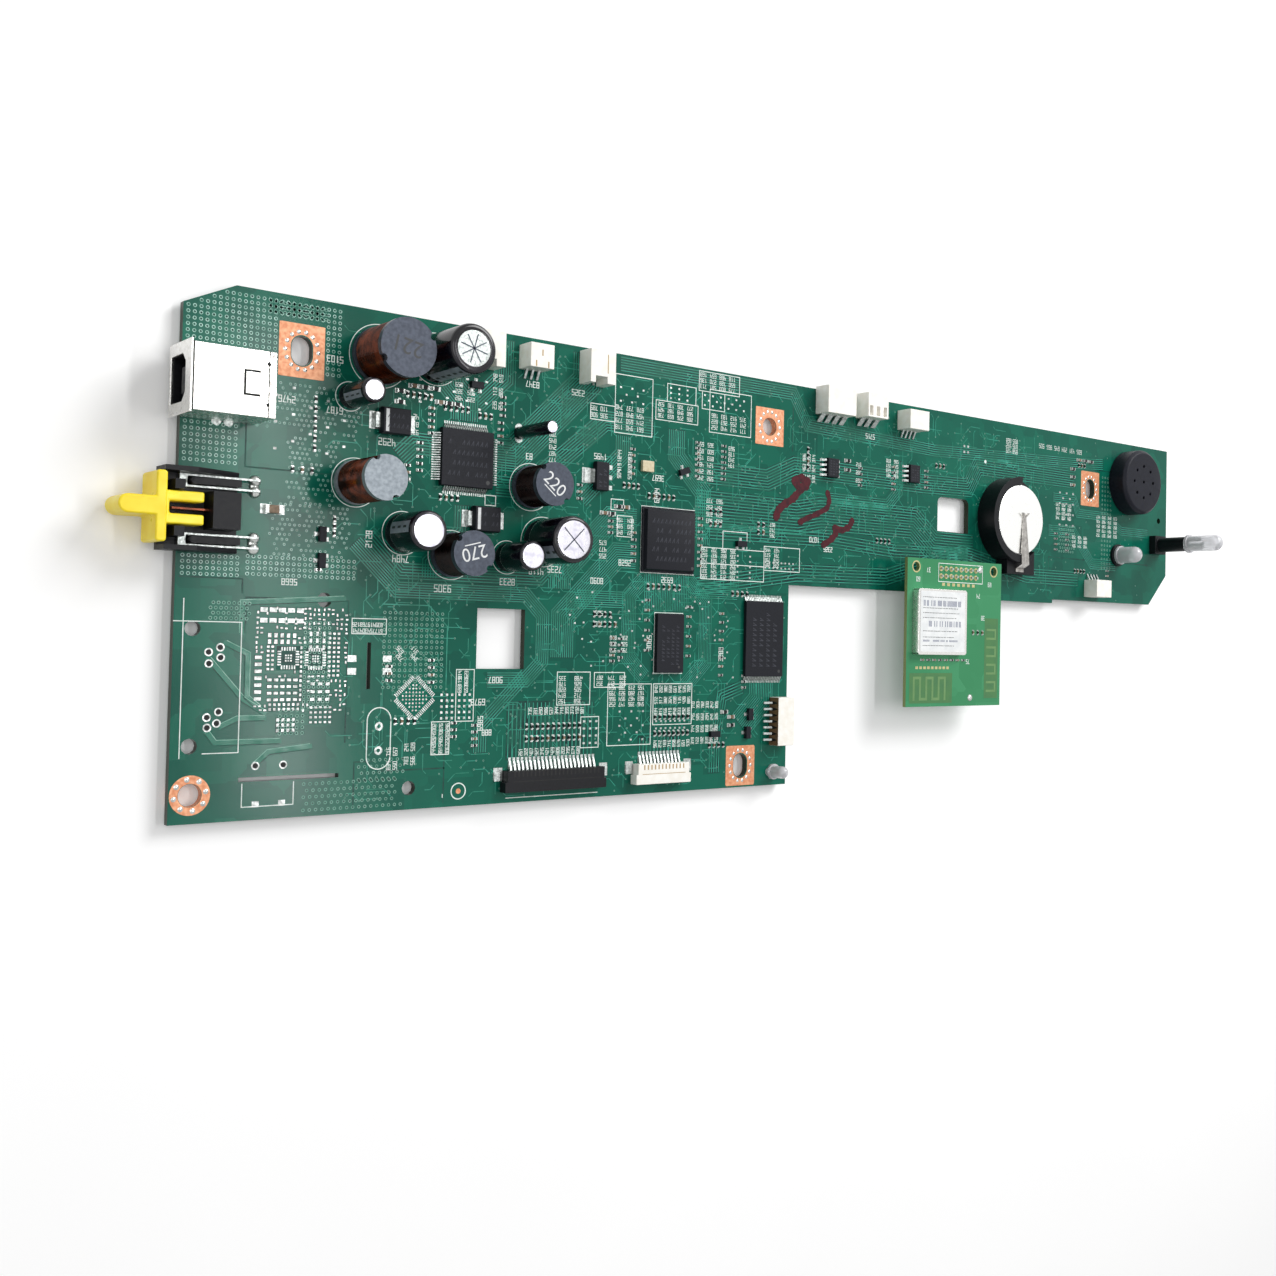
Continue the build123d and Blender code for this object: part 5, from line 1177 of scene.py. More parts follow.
def make_chokes(sizes):
    """Ferrite drums, their wire turns and their printed values."""
    cores = dressed("choke_cores", "ferrite", 0.25, 3)
    boxes = solids("choke_cores")
    # The leftmost drum is ground lighter. The others are as pressed.
    second_finish(cores, "ferrite_light", (boxes[0][0] - 0.1, boxes[0][1] + 0.1))
    paint("dark_varnish_and_shade", "choke_windings")
    copper, varnished = Batch(), Batch()
    thickness = sizes.wire_thickness / MM
    for number, (low, high) in enumerate(boxes):
        (x, y, _), radius = (low + high) / 2, (high[0] - low[0]) / 2
        # The two drums at the left have thicker wire. Turns lie side by side between the flanges.
        wire = thickness / 2 * (1.0 if number < 2 else 0.7)
        bottom, top = 1.2 + wire, high[2] - 1.3 - wire
        turns = int((top - bottom) / (2.05 * wire))
        angle = np.linspace(0, 2 * np.pi * turns, turns * 40 + 1)
        ring = radius - 0.42
        path = np.stack([x + ring * np.cos(angle), y + ring * np.sin(angle),
                         np.linspace(bottom, top, len(angle))], axis=1)
        (copper if number < 2 else varnished).add(*tube(path, wire, 6))
    copper.build("choke_wire", "wire", "copper_wire", True)
    varnished.build("choke_wire_varnished", "dark_varnish_and_shade", "copper_wire", True)
    # The values are plain numbers, one per drum. The pale ones are underlined.
    for name, value, box, height, turn, tone in (
            ("choke_value_1", "221", boxes[1], 3.1, 168, "dark_paint"),
            ("choke_value_3", "220", boxes[3], 2.7, -40, "paint"),
            ("choke_value_4", "270", boxes[2], 2.7, 195, "paint")):
        (x, y, _), top = (box[0] + box[1]) / 2, box[1][2]
        numeral(name, value, (x, y, top + 0.02), height, turn, tone, "white_plastic")
        if tone == "paint":
            along, up = spin(turn)
            mid = np.array([x, y]) - up * (height / 2 + 0.5)
            line = strokes([np.hstack([mid - along * 1.7, mid + along * 1.7])], 0.22, top + 0.02)
            piece(f"{name}_line", *line, "paint", "white_plastic")


def make_capacitors():
    """Cans in shrunk sleeves. The sleeve's end rolls over onto the bare can top."""
    lids, dull, vents, stripes, marks = Batch(), Batch(), Batch(), Batch(), Batch()
    for number, vent_turn, stripe in ((1, 30, 250), (2, 0, 200), (3, 0, 170), (4, 0, 300), (5, 45, 215)):
        middle, size = centre(f"capacitor_{number}")
        x, y = middle[:2]
        r, h = size[0] / 2, middle[2] + size[2] / 2
        lip = r * (0.72 if number == 1 else 0.8)
        # From the foot, over the bead pressed in above it, up the side and over the rolled end.
        profile = [(r - 0.9, 0.12), (r - 0.3, 0.12), (r - 0.06, 0.4), (r - 0.04, 1.1), (r - 0.38, 1.6),
                   (r - 0.38, 1.85), (r - 0.04, 2.4), (r, 3.0), (r, h - 0.85), (r - 0.1, h - 0.42),
                   (r - 0.34, h - 0.14), (r - 0.62, h - 0.02), (lip + 0.1, h), (lip, h - 0.03),
                   (lip - 0.06, h - 0.3)]
        sleeve = piece(f"capacitor_{number}_sleeve", *capped(profile, x, y), "sleeve",
                       "can_sleeve", True)
        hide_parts(f"capacitor_{number}")
        (dull if number == 1 else lids).add(*capped(
            [(lip + 0.02, h - 0.4), (lip + 0.02, h - 0.1), (lip - 0.25, h - 0.07), (lip * 0.7, h - 0.1),
             (lip * 0.3, h - 0.09)], x, y, 48))
        # The vent scores are flat dark lines: painted shade in their grooves.
        if r > 4.5:
            for turn in (0, 90) if number == 5 else (0, 45, 90, 135):
                t = math.radians(vent_turn + turn)
                dx, dy = math.cos(t) * (lip - 0.7), math.sin(t) * (lip - 0.7)
                vents.add(*strokes([(x - dx, y - dy, x + dx, y + dy)], 0.24, h - 0.055))
        stripes.add(*arc_patch(x, y, r + MARK_LIFT, stripe, 17, 2.9, h - 0.9))
        for level in np.arange(3.6, h - 1.6, 2.4):
            marks.add(*arc_patch(x, y, r + 2 * MARK_LIFT, stripe, 3.5, level, level + 1.3, 2))
    slim, size = centre("slim_capacitor")
    x, y = slim[:2]
    r, h = size[0] / 2, slim[2] + size[2] / 2
    lids.add(*capped([(r - 0.25, h - 0.5), (r - 0.25, h - 0.02), (r * 0.4, h)], x, y, 32))
    profile = [(r - 0.5, 0.1), (r - 0.04, 0.3), (r, 0.9), (r - 0.14, 1.3), (r, 1.7), (r, h - 0.5),
               (r - 0.12, h - 0.12), (r - 0.35, h - 0.02), (r - 0.45, h - 0.2)]
    sleeve = piece("slim_capacitor_sleeve", *capped(profile, x, y, 40), "sleeve",
                   "can_sleeve", True)
    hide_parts("slim_capacitor")
    lids.build("can_tops", "aluminium", "plated_steel", True)
    dull.build("can_top_dull", "tin", "plated_steel", True)
    vents.build("can_vent_shade", "ferrite", "plated_steel")
    stripes.build("sleeve_stripes", "stripe", "can_sleeve", True)
    marks.build("sleeve_minus_marks", "dark_paint", "can_sleeve")


# ---------- chips

def mark_rows(batch, box, rows, height, turn):
    """Rows of short dashes, as a faint laser mark too small to read. Each dash has a slanted neighbour."""
    low, high = box
    x, y = (low[:2] + high[:2]) / 2
    length, depth = (high - low)[:2] * 0.72
    if turn % 180:
        length, depth = depth, length
    reach = height * 0.78 / 2
    out = []
    for row in range(rows):
        level = (0.5 - (row + 0.5) / rows) * depth
        end = length * (0.5 - RANDOM.uniform(0, 0.16))
        left = np.arange(-length / 2, end, height * 0.95)
        left = left[RANDOM.random(len(left)) < 0.86]
        bar = np.stack(np.broadcast_arrays(left, level - reach, left, level + reach), axis=1)
        slash = bar.copy()
        slash[:, 2] += height * 0.42
        out += [bar, slash]
    lines = np.vstack(out).reshape(-1, 2) @ spin(turn) + [x, y]
    batch.add(*strokes(lines.reshape(-1, 4), height * 0.14, high[2] + 0.01))


def make_chips():
    """Moulded packages with pin marks, faint laser marks, leads and pads."""
    for name, width in (("motor_driver_body", 0.1), ("regulator_body", 0.1), ("processor_chip", 0.08),
                        ("memory_chip", 0.08), ("flash_chip_body", 0.08), ("small_chip_bodies", 0.08)):
        dressed(name, "epoxy", width)
    dressed("diode_bodies", "epoxy", 0.14)
    paint("tin", "motor_driver_leads", "regulator_leads", "flash_chip_leads", "small_chip_leads",
          "diode_tabs")
    dressed("oscillator", "cream", 0.12)
    mark_chips()
    make_chip_pads()


def mark_chips():
    """Rows of laser marks, the dots at the first pins, and the bands of the diodes."""
    marks, dots, bands = Batch(), Batch(), Batch()
    driver, processor = solids("motor_driver_body")[0], solids("processor_chip")[0]
    memory, flash = solids("memory_chip")[0], solids("flash_chip_body")[0]
    for box, rows, height, turn in ((driver, 4, 1.1, 180), (processor, 5, 1.2, 180), (memory, 4, 0.9, 90),
                                    (flash, 4, 1.3, 90)):
        mark_rows(marks, box, rows, height, turn)
    for name, rows, height, turn in (("small_chip_bodies", 3, 0.7, 90), ("regulator_body", 2, 0.9, 90),
                                     ("diode_bodies", 2, 1.0, 180)):
        for box in solids(name):
            mark_rows(marks, box, rows, height, turn)
    for low, high in solids("diode_bodies"):
        bands.add(*bars([(low[0] + 1.0, (low[1] + high[1]) / 2)], (0.7, high[1] - low[1] - 0.9),
                        high[2] + MARK_LIFT))
    for (low, high), radius in ((driver, 0.45), (processor, 0.4), (memory, 0.3), (flash, 0.4)):
        dots.add(*rounds([(high[0] - 1.3, low[1] + 1.3)], radius, high[2] + MARK_LIFT, 20))
    marks.build("chip_marks", "epoxy_mark", "chip_black")
    dots.build("chip_pin_dots", "dark_paint", "chip_black")
    bands.build("diode_bands", "paint", "white_plastic")


def make_chip_pads():
    """Tinned pads under the leads of the chips, the regulator and the diodes."""
    pads = Batch()
    (x, y, _), size = centre("motor_driver_body")
    row, reach = (np.arange(20) - 9.5) * 0.5, size[0] / 2 + 0.95
    for side in (-reach, reach):
        pads.add(*bars(across(x, y, row, side), (0.27, 1.2), PAD_Z))
        pads.add(*bars(across(x, y, side, row), (1.2, 0.27), PAD_Z))
    (x, y, _), size = centre("flash_chip_body")
    row, reach = (np.arange(24) - 11.5) * 0.5, size[1] / 2 + 0.9
    for side in (-reach, reach):
        pads.add(*bars(across(x, y, row, side), (0.27, 1.2), PAD_Z))
    for low, high in solids("small_chip_bodies"):
        (x, y, _), reach = (low + high) / 2, (high[0] - low[0]) / 2 + 0.85
        for side in (-reach, reach):
            pads.add(*bars(across(x, y, side, (np.arange(4) - 1.5) * 1.27), (1.3, 0.65), PAD_Z))
    low, high = solids("regulator_body")[0]
    y = (low[1] + high[1]) / 2
    pads.add(*bars(across(high[0] + 1.0, y, 0, (np.arange(3) - 1) * 2.3), (1.6, 1.0), PAD_Z))
    pads.add(*bars([(low[0] - 1.4, y)], (2.6, 3.4), PAD_Z))
    for low, high in solids("diode_bodies"):
        y = (low[1] + high[1]) / 2
        pads.add(*bars([(low[0] - 0.7, y), (high[0] + 0.7, y)], (2.2, 3.5), PAD_Z))
    pads.build("chip_pads", "tin", "tinned_metal")


# ---------- headers and ribbon sockets

WHITE_HEADERS = ("wire_headers_2_way", "wire_header_3_way", "wire_headers_4_way", "wire_header_7_way",
                 "wide_header_4_way", "wide_header_3_way")


def make_headers():
    """Nylon housings with softened edges, tinned contacts, painted shade in the slots of their latches and
    on the 7-way header's rear face.
    """
    for name in WHITE_HEADERS:
        dressed(name, "white", 0.14)
    paint("tin", "header_contacts")
    # Tan bars over the latch slots are painted shade in them.
    slots = Batch()
    low, high = solids("wire_header_3_way")[0]
    x = (low[0] + high[0]) / 2
    slots.add(*bars([(x, high[1] - 2.0), (x - 1.5, low[1] + 0.8), (x + 1.5, low[1] + 0.8)], (0.32, 1.3),
                    high[2] + MARK_LIFT))
    low, high = solids("wire_headers_2_way")[1]
    x = (low[0] + high[0]) / 2
    slots.add(*bars([(x + 1.2, high[1] - 3.0)], (0.25, 4.2), high[2] + MARK_LIFT))
    slots.build("header_slot_shade", "tan", "white_plastic")
    low, high = solids("wire_header_7_way")[0]
    # The 7-way header's rear face is painted the darker nylon: painted shade, as it faces away from the
    # light.
    second_finish(bpy.data.objects["wire_header_7_way_finished"], "amber",
                  (low - 0.1, np.array([low[0] + 0.2, high[1] + 0.1, high[2] - 0.2])))
    # Painted shade of the recess behind each contact of the 7-way header: a dark wedge, wide below and
    # narrow above.
    marks, x = Batch(), low[0] - MARK_LIFT
    for y in (low[1] + high[1]) / 2 + (np.arange(7) - 3) * 1.5:
        marks.add(np.array([(x, y - 0.5, 1.0), (x, y + 0.5, 1.0), (x, y + 0.1, high[2] - 0.5),
                            (x, y - 0.1, high[2] - 0.5)]), np.array([[3, 2, 1, 0]]))
    marks.build("header_rear_painted_shade", "dark_varnish_and_shade", "white_plastic")


def make_ribbon_sockets():
    """Flat-cable sockets: a flap over the slot, painted shade along its hinge and in a groove for each way,
    and tinned legs.
    """
    dressed("ribbon_socket_1", "black", 0.12)
    dressed("ribbon_socket_2", "white", 0.12)
    paint("tin", "ribbon_contacts")
    for name, ways, groove, slot in (("ribbon_socket_1", 22, "dark", "black_plastic"),
                                     ("ribbon_socket_2", 12, "tan", "white_plastic")):
        low, high = solids(name)[0]
        x = (low[0] + high[0]) / 2 + (np.arange(ways) - (ways - 1) / 2) * 1.0
        batch, hinge, level = Batch(), low[1] + 2.3, high[2] + MARK_LIFT
        # The bars over each way's groove and the line at the hinge are painted shade, dark on the black
        # socket and tan on the white one.
        batch.add(*bars(across(x, high[1] - 0.75, 0, 0), (0.34, 1.1), level))
        batch.add(*strokes([(low[0] + 1.7, hinge, high[0] - 1.7, hinge)], 0.14, level))
        batch.build(f"{name}_groove_shade", groove, slot)
    pads = Batch()
    for low, high in solids("ribbon_contacts"):
        (x, y, _), size = (low + high) / 2, high - low
        pads.add(*bars([(x, y + 0.5)], (size[0] + 0.2, size[1] + 0.5), PAD_Z - 0.004))
    pads.build("ribbon_pads", "tin", "tinned_metal")


# ---------- cell, sounder and lamps

def make_cell():
    """The coin cell: a flat can with a rolled edge, in its moulded holder under a spring clip."""
    dressed("cell_holder", "black", 0.28, 3)
    # The clip is painted the darker steel: painted reflection of dark surroundings on its bright metal.
    paint("spring", "cell_clip")
    middle, size = centre("coin_cell")
    x, y = middle[:2]
    r, low, top = size[0] / 2, middle[2] - size[2] / 2, middle[2] + size[2] / 2
    profile = [(r - 1.2, low), (r - 0.3, low + 0.05), (r, low + 0.4), (r, top - 0.45), (r - 0.1, top - 0.2),
               (r - 0.32, top - 0.04), (r - 0.6, top), (r - 0.95, top - 0.05), (r - 1.15, top - 0.04),
               (r * 0.5, top - 0.03), (0.2, top - 0.03)]
    cell = piece("coin_cell_can", *capped(profile, x, y, 96), "cell", "cell_steel", True)
    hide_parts("coin_cell")


def make_sounder():
    """A moulded sounder whose ports are painted dark near their floors: painted shade in the ports."""
    dressed("sounder", "sounder", 0.25, 3)
    middle, size = centre("sounder")
    ports = np.vstack([middle[:2], circle(*middle[:2], 4.9, 4.9, 8)])
    floor = middle[2] + size[2] / 2 - 0.9  # a little over the floor of each port
    piece("sounder_port_shade", *rounds(ports, 0.5, floor, 16), "dark", "sounder_black")


def lens_profile(radius, low, top, flange):
    """Half section of a cast lamp: a flange, a straight side, and a dome of one radius."""
    angle = np.linspace(0, np.pi / 2 * 0.97, 12)
    dome = [(radius * math.cos(a), top - radius + radius * math.sin(a)) for a in angle]
    return [(flange - 0.3, low), (flange, low + 0.15), (flange, low + 0.85), (radius, low + 0.95)] + dome


def make_lamps():
    """Clear cast lamps over their lead frames, one on a spacer and one on a ring."""
    dressed("lamp_spacer", "black", 0.15)
    dressed("sensor_base", "black", 0.15)
    boxes = [box for box in solids("lamp_lenses") if box[1][0] - box[0][0] > 2]
    lenses, frames = Batch(), Batch()
    for low, high in boxes:
        (x, y, _), bottom, top = (low + high) / 2, low[2], high[2]
        radius = min(high[0] - low[0], 5.0) / 2
        flange = radius + 0.4
        lenses.add(*capped(lens_profile(radius, bottom, top, flange), x, y, 48))
        # Two lead frames, the taller with a cup, scaled with the lamp.
        cup = bottom + (top - bottom) * 0.42
        k = radius / 2.5
        frames.add(*blocks([(x, y + 0.9 * k)], (0.5 * k, 0.9 * k, cup - bottom), bottom + 0.1))
        frames.add(*blocks([(x, y - 0.7 * k)], (0.5 * k, 1.5 * k, cup - bottom + 0.6), bottom + 0.1))
        frames.add(*capped([(0.45 * k, cup + 0.2), (0.9 * k, cup + 1.0), (0.75 * k, cup + 1.0),
                            (0.3 * k, cup + 0.5)], x, y - 0.5 * k, 20))
    shown = lenses.build("lamp_bodies", "resin", "clear_lens", True)
    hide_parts("lamp_lenses")
    frames.build("lamp_lead_frames", "tin", "tinned_metal")


# ---------- radio module

def make_label():
    """The label on the module's screening can, with rows of dashes and bars in place of text."""
    shield, extent = centre("radio_shield")
    cover = shield[2] + extent[2] / 2
    above = cover + 0.09
    x0, x1 = shield[0] - extent[0] / 2 + 0.7, shield[0] + extent[0] / 2 - 0.9
    y0, y1 = shield[1] - extent[1] / 2 + 0.8, shield[1] + extent[1] / 2 - 0.6
    label = blocks([((x0 + x1) / 2, (y0 + y1) / 2)], (x1 - x0, y1 - y0, 0.08), cover)
    piece("module_label", *label, "label", "white_plastic")
    small, code = Batch(), Batch()
    for share in (0.1, 0.24, 0.34, 0.56, 0.64, 0.72, 0.9):
        y = y0 + (y1 - y0) * share
        starts = np.arange(x0 + 1.0, x1 - RANDOM.uniform(2.5, 5.5), 0.62)
        ends = starts + RANDOM.uniform(0.15, 0.4, len(starts))
        small.add(*strokes(np.stack(np.broadcast_arrays(starts, y, ends, y), axis=1), 0.16, above))
    bar = np.arange(x0 + 1.2, x1 - 1.6, 0.42)
    for share in (0.18, 0.46, 0.8):
        chosen = bar[RANDOM.random(len(bar)) < 0.68]
        height = 1.5 if share > 0.2 else 0.5
        code.add(*bars(across(chosen, y0 + (y1 - y0) * share, 0, 0), (0.2, height), above))
    small.build("module_label_rows", "dark_paint", "chip_black")
    code.build("module_label_bars", "code", "chip_black")


def make_module_board(left, right, front, back, top):
    """Lands, antenna, small parts, solder and print of the module. Its edges and top are given."""
    z = top + 0.03
    bare, antenna, trail = Batch(), Batch(), Batch()
    bare.add(*rounds([(left + 3.3, back - 2.3), (right - 3.3, back - 2.3)], 1.6, z, 32, 1.25))
    bare.add(*bars(across(left + 4, front + 10.3, np.arange(9) * 1.5, 0), (1.0, 0.7), z))
    ways = (np.arange(8) - 3.5) * 2.0 + left + 19.9
    for y in (back - 2.4, back - 4.4):
        bare.add(*rounds(across(ways, y, 0, 0), 0.72, z, 16))
    bare.add(*bars(across(ways[:7] + 1, back - 6.6, 0, 0), (1.1, 0.8), z))
    bare.build("module_lands", "module_gold", "tinned_metal")
    for x, y, width, depth in ((left + 9.6, front + 4.9, 16.6, 8.0), (right - 3.9, front + 13.0, 5.6, 22.0)):
        antenna.add(*bars([(x, y)], (width, depth), z - MARK_LIFT))
    antenna.build("module_antenna_clearing", "module_bare", "module_green")
    # One antenna winds along the front edge, and the other climbs the right edge in steps.
    near, far, pitch = front + 2.0, front + 7.6, 2.4
    meander = []
    for k in range(6):
        x, y = left + 3.0 + k * pitch, near if k % 2 else far
        meander += [(x, near, x, far), (x, y, x + pitch, y)]
    trail.add(*strokes(meander[:-1], 0.7, z))
    inner, outer = right - 5.6, right - 2.2
    for k in range(4):
        y = front + 4.0 + k * 2 * pitch
        trail.add(*strokes(runs([(inner, y), (outer, y), (outer, y + pitch), (inner, y + pitch)]), 0.6, z))
    trail.build("module_antenna", "module_track", "module_green")

    tray, ink = PartTray(top), Batch()
    spots = ([(left + 6 + k * 2.3, front + 12.4, 0) for k in range(8)]
             + [(left + 22.5, front + 15 + k * 2.2, 90) for k in range(8)]
             + [(left + 26 + k * 1.9, front + 20, 90) for k in range(3)])
    for number, (x, y, turn) in enumerate(spots):
        tray.place(x, y, SMALL_SIZE, turn, "glaze" if number % 2 else "ceramic")
    tray.build("module_parts")
    blobs = domes([(left + 28.7, back - 2.1), (left + 25.2, front + 2.2)], 0.9, 0.4, top, 16, 5)
    piece("module_solder", *blobs, "solder", "tinned_metal", True)
    ink.add(*strokes(outline(left + 11.9, right - 8.0, back - 5.9, back - 1.0), 0.18, z + 0.01))
    text = [number_strokes(RANDOM.integers(10, 99), x, y, 1.1, 180) for x, y in (
        (left + 8.0, back - 3.0), (left + 4.0, back - 5.6), (right - 5.0, back - 6.0),
        (left + 24, front + 12), (left + 30, front + 24), (left + 28, front + 30))]
    ink.add(*strokes(np.vstack(text), 0.15, z + 0.01))
    ink.build("module_print", "ink", "white_plastic")


def make_radio():
    """The raised module: its solids' finishes, then its label and what its board carries."""
    paint("module_mask", "radio_board")
    paint("black", "radio_socket", "radio_header")
    paint("tin", "radio_pins")
    dressed("radio_shield", "steel", 0.16, 3)
    make_label()
    board, size = centre("radio_board")
    low, high = board - size / 2, board + size / 2
    make_module_board(low[0], high[0], low[1], high[1], high[2])


# ---------- solder and underside

def make_solder():
    """A cone of solder round each lead tip below the board, with a land under it and one above."""
    tips = lead_tips()
    cones = domes(tips, 1.0, 0.95, UNDERSIDE - 0.02, 14, 5, True)
    piece("solder_cones", *cones, "solder", "tinned_metal", True)
    piece("lead_lands", *rounds(tips, 0.95, PAD_Z - 0.008, 20), "tin", "tinned_metal")
    lower = facing_down(rounds(tips, 1.25, UNDERSIDE - 0.025, 20))
    piece("lower_lands", *lower, "tin", "tinned_metal")


def loose_places(box, step, play, margin, share):
    """A share of a grid's points, each moved by up to the play, where they are on the board."""
    points = grid(*box, step)
    points = points + RANDOM.uniform(-play, play, points.shape)
    return points[on_board(points, margin) & (RANDOM.random(len(points)) < share)]


def make_underside():
    """Tracks, vias and test lands below the board."""
    tracks, lands, pads = Batch(), Batch(), Batch()
    for points, count, pitch in BUNDLES[2:22]:
        tracks.add(*facing_down(strokes(bundle(points, count, pitch), 0.2, UNDERSIDE - TRACK_Z)))
    tracks.build("lower_tracks", "track", "solder_mask_green")
    places = loose_places((3, 306, 3, 97), 2.4, 1.0, 1.0, 0.5)
    vias = facing_down(rounds(places, 0.26, UNDERSIDE - VIA_Z, 8))
    piece("lower_vias", *vias, "track", "solder_mask_green")
    places = loose_places((20, 300, 6, 94), 7.5, 2.5, 2.0, 0.6)
    lands.add(*facing_down(rounds(places, 0.55, UNDERSIDE - PAD_Z, 16)))
    mounting_pads(pads, (SLOT_RUN,) * 4, UNDERSIDE - PAD_Z)
    lands.add(np.vstack(pads.verts), [face[::-1] for face in pads.faces])
    lands.build("lower_test_lands", "copper", "solder_mask_green")


# ---------- stage

def seen_directly(tree):
    """1 for the rays of the view, of gloss and of clear resin, and 0 for those that light things."""
    path = add(tree, "ShaderNodeLightPath").outputs
    seen = path["Is Camera Ray"]
    for name in ("Is Glossy Ray", "Is Transmission Ray"):
        seen = add(tree, "ShaderNodeMath", {0: seen, 1: path[name]}, operation="MAXIMUM").outputs[0]
    return seen


def make_floor(stage):
    """Pale paper at the height of the lowest point, a little brighter where the view sees it."""
    size = 3.0
    mesh = bpy.data.meshes.new("floor")
    corners = [(-size, -size), (size, -size), (size, size), (-size, size)]
    mesh.from_pydata([(x + 0.15, y + 0.05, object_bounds()[0].z) for x, y in corners], [], [(0, 1, 2, 3)])
    floor = new_object("floor", mesh)
    floor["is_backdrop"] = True
    material, tree, shader = finish("floor_paper")
    shader.inputs["Roughness"].default_value = 0.9
    shader.inputs["Specular IOR Level"].default_value = 0.1
    where = add(tree, "ShaderNodeTexCoord").outputs["Object"]
    grain = add(tree, "ShaderNodeTexNoise", {"Vector": where, "Scale": 12.0, "Detail": 3.0})
    tint = add(tree, "ShaderNodeMix", {SHARE: grain.outputs["Fac"], FIRST: colour(stage.floor_colour),
                                       SECOND: colour("#FBFBFB")}, data_type="RGBA")
    tree.links.new(tint.outputs[BLEND], shader.inputs["Base Color"])
    shader.inputs["Emission Color"].default_value = (1.0, 1.0, 1.0, 1.0)
    lift = add(tree, "ShaderNodeMapRange", {"Value": seen_directly(tree), "To Max": 0.12})
    tree.links.new(lift.outputs[0], shader.inputs["Emission Strength"])
    mesh.materials.append(material)


def make_lights(stage):
    """White all round, a strip lamp overhead, a soft key at the right and a broad fill at the left."""
    world = bpy.data.worlds.new("studio")
    bpy.context.scene.world = world
    world.use_nodes = True
    tree = world.node_tree
    strength = add(tree, "ShaderNodeMapRange", {"Value": seen_directly(tree), "To Min": stage.ambient})
    background = tree.nodes["Background"]
    background.inputs["Color"].default_value = (1.0, 1.0, 1.0, 1.0)
    tree.links.new(strength.outputs[0], background.inputs["Strength"])
    for name, place, aim, size, power in (
            ("window", (0.305, 0.06, 0.75), (0.08, 0.04, 0.0), (0.40, 0.05), stage.window_power),
            ("key", (0.62, 0.60, 0.60), (0.12, 0.04, 0.0), (0.5, 0.5), stage.key_power),
            ("fill", (-0.25, 0.10, 0.55), (0.04, 0.04, 0.0), (0.4, 0.4), stage.fill_power)):
        light = bpy.data.lights.new(name, "AREA")
        light.energy = power
        light.shape = "RECTANGLE"
        light.size, light.size_y = size
        lamp = new_object(name, light)
        lamp.location = place
        lamp.rotation_euler = (Vector(aim) - Vector(place)).to_track_quat("-Z", "Y").to_euler()


def make_camera(stage):
    """The view from above the front left, its middle shifted off the lens's axis."""
    # Which way the picture's right and down run. The view looks along right x down.
    right = Vector((0.75413, 0.01936, 0.65644))
    down = Vector((0.03344, -0.9994, -0.00894))
    forward = right.cross(down).normalized()
    turn = Matrix((right, -down, -forward)).transposed()
    data = bpy.data.cameras.new("camera")
    data.sensor_width = 36.0
    data.lens = stage.lens
    data.shift_x, data.shift_y = -0.1127, -0.0286
    data.clip_start = 0.005
    camera = new_object("camera", data)
    camera.matrix_world = Matrix.Translation((-0.08844, 0.02996, 0.2662)) @ turn.to_4x4()
    bpy.context.scene.camera = camera
    bpy.context.scene.view_settings.view_transform = "Standard"


# ---------- add-on

class BoardLook(bpy.types.PropertyGroup):
    """Colours of the board and its key."""
    mask_pour: bpy.props.FloatVectorProperty(
        name="Mask over copper", description="Solder mask where copper lies under it",
        subtype="COLOR", size=4, min=0, max=1, default=colour("#117059"))
    mask_gap: bpy.props.FloatVectorProperty(
        name="Mask over laminate", description="Solder mask between the pours",
        subtype="COLOR", size=4, min=0, max=1, default=colour("#085143"))
    mask_deep: bpy.props.FloatVectorProperty(
        name="Isolation lines", description="Lines where the copper is cut away",
        subtype="COLOR", size=4, min=0, max=1, default=colour("#04312C"))
    track: bpy.props.FloatVectorProperty(
        name="Tracks", description="Solder mask over tracks",
        subtype="COLOR", size=4, min=0, max=1, default=colour("#369A84"))
    key_colour: bpy.props.FloatVectorProperty(
        name="Inlet key", description="Yellow nylon of the power inlet's key",
        subtype="COLOR", size=4, min=0, max=1, default=colour("#FFEA2C"))


class BoardSizes(bpy.types.PropertyGroup):
    """Sizes of the fine pieces that the solids leave out."""
    wire_thickness: bpy.props.FloatProperty(
        name="Choke wire", description="Thickness of the thicker winding wire",
        unit="LENGTH", min=0.0002, max=0.001, default=0.0007)


class BoardStage(bpy.types.PropertyGroup):
    """Floor, light and lens."""
    floor_colour: bpy.props.FloatVectorProperty(
        name="Floor", description="Colour of the paper under the board",
        subtype="COLOR", size=4, min=0, max=1, default=colour("#F6F6F6"))
    ambient: bpy.props.FloatProperty(
        name="Ambient", description="Strength of the even light from all round", min=0, max=2, default=0.28)
    key_power: bpy.props.FloatProperty(
        name="Key", description="Power of the soft key at the right",
        unit="POWER", min=0, max=50, default=7.2)
    fill_power: bpy.props.FloatProperty(
        name="Fill", description="Power of the broad lamp at the left",
        unit="POWER", min=0, max=50, default=0.9)
    window_power: bpy.props.FloatProperty(
        name="Window", description="Power of the lamp overhead that the gloss shows",
        unit="POWER", min=0, max=50, default=1.1)
    lens: bpy.props.FloatProperty(
        name="Lens", description="Focal length", unit="CAMERA", min=10, max=200, default=39.88)


class BoardFinishes(bpy.types.Operator):
    """Makes every finish of the board"""
    bl_idname = "board.finishes"
    bl_label = "Finishes"

    def execute(self, context):
        make_materials(context.scene.board_look)
        return {"FINISHED"}


class BoardSurface(bpy.types.Operator):
    """Lays the solder mask, tracks, vias and the bare rings of the mounting holes"""
    bl_idname = "board.surface"
    bl_label = "Board surface"

    def execute(self, context):
        make_board()
        free_pads()
        return {"FINISHED"}


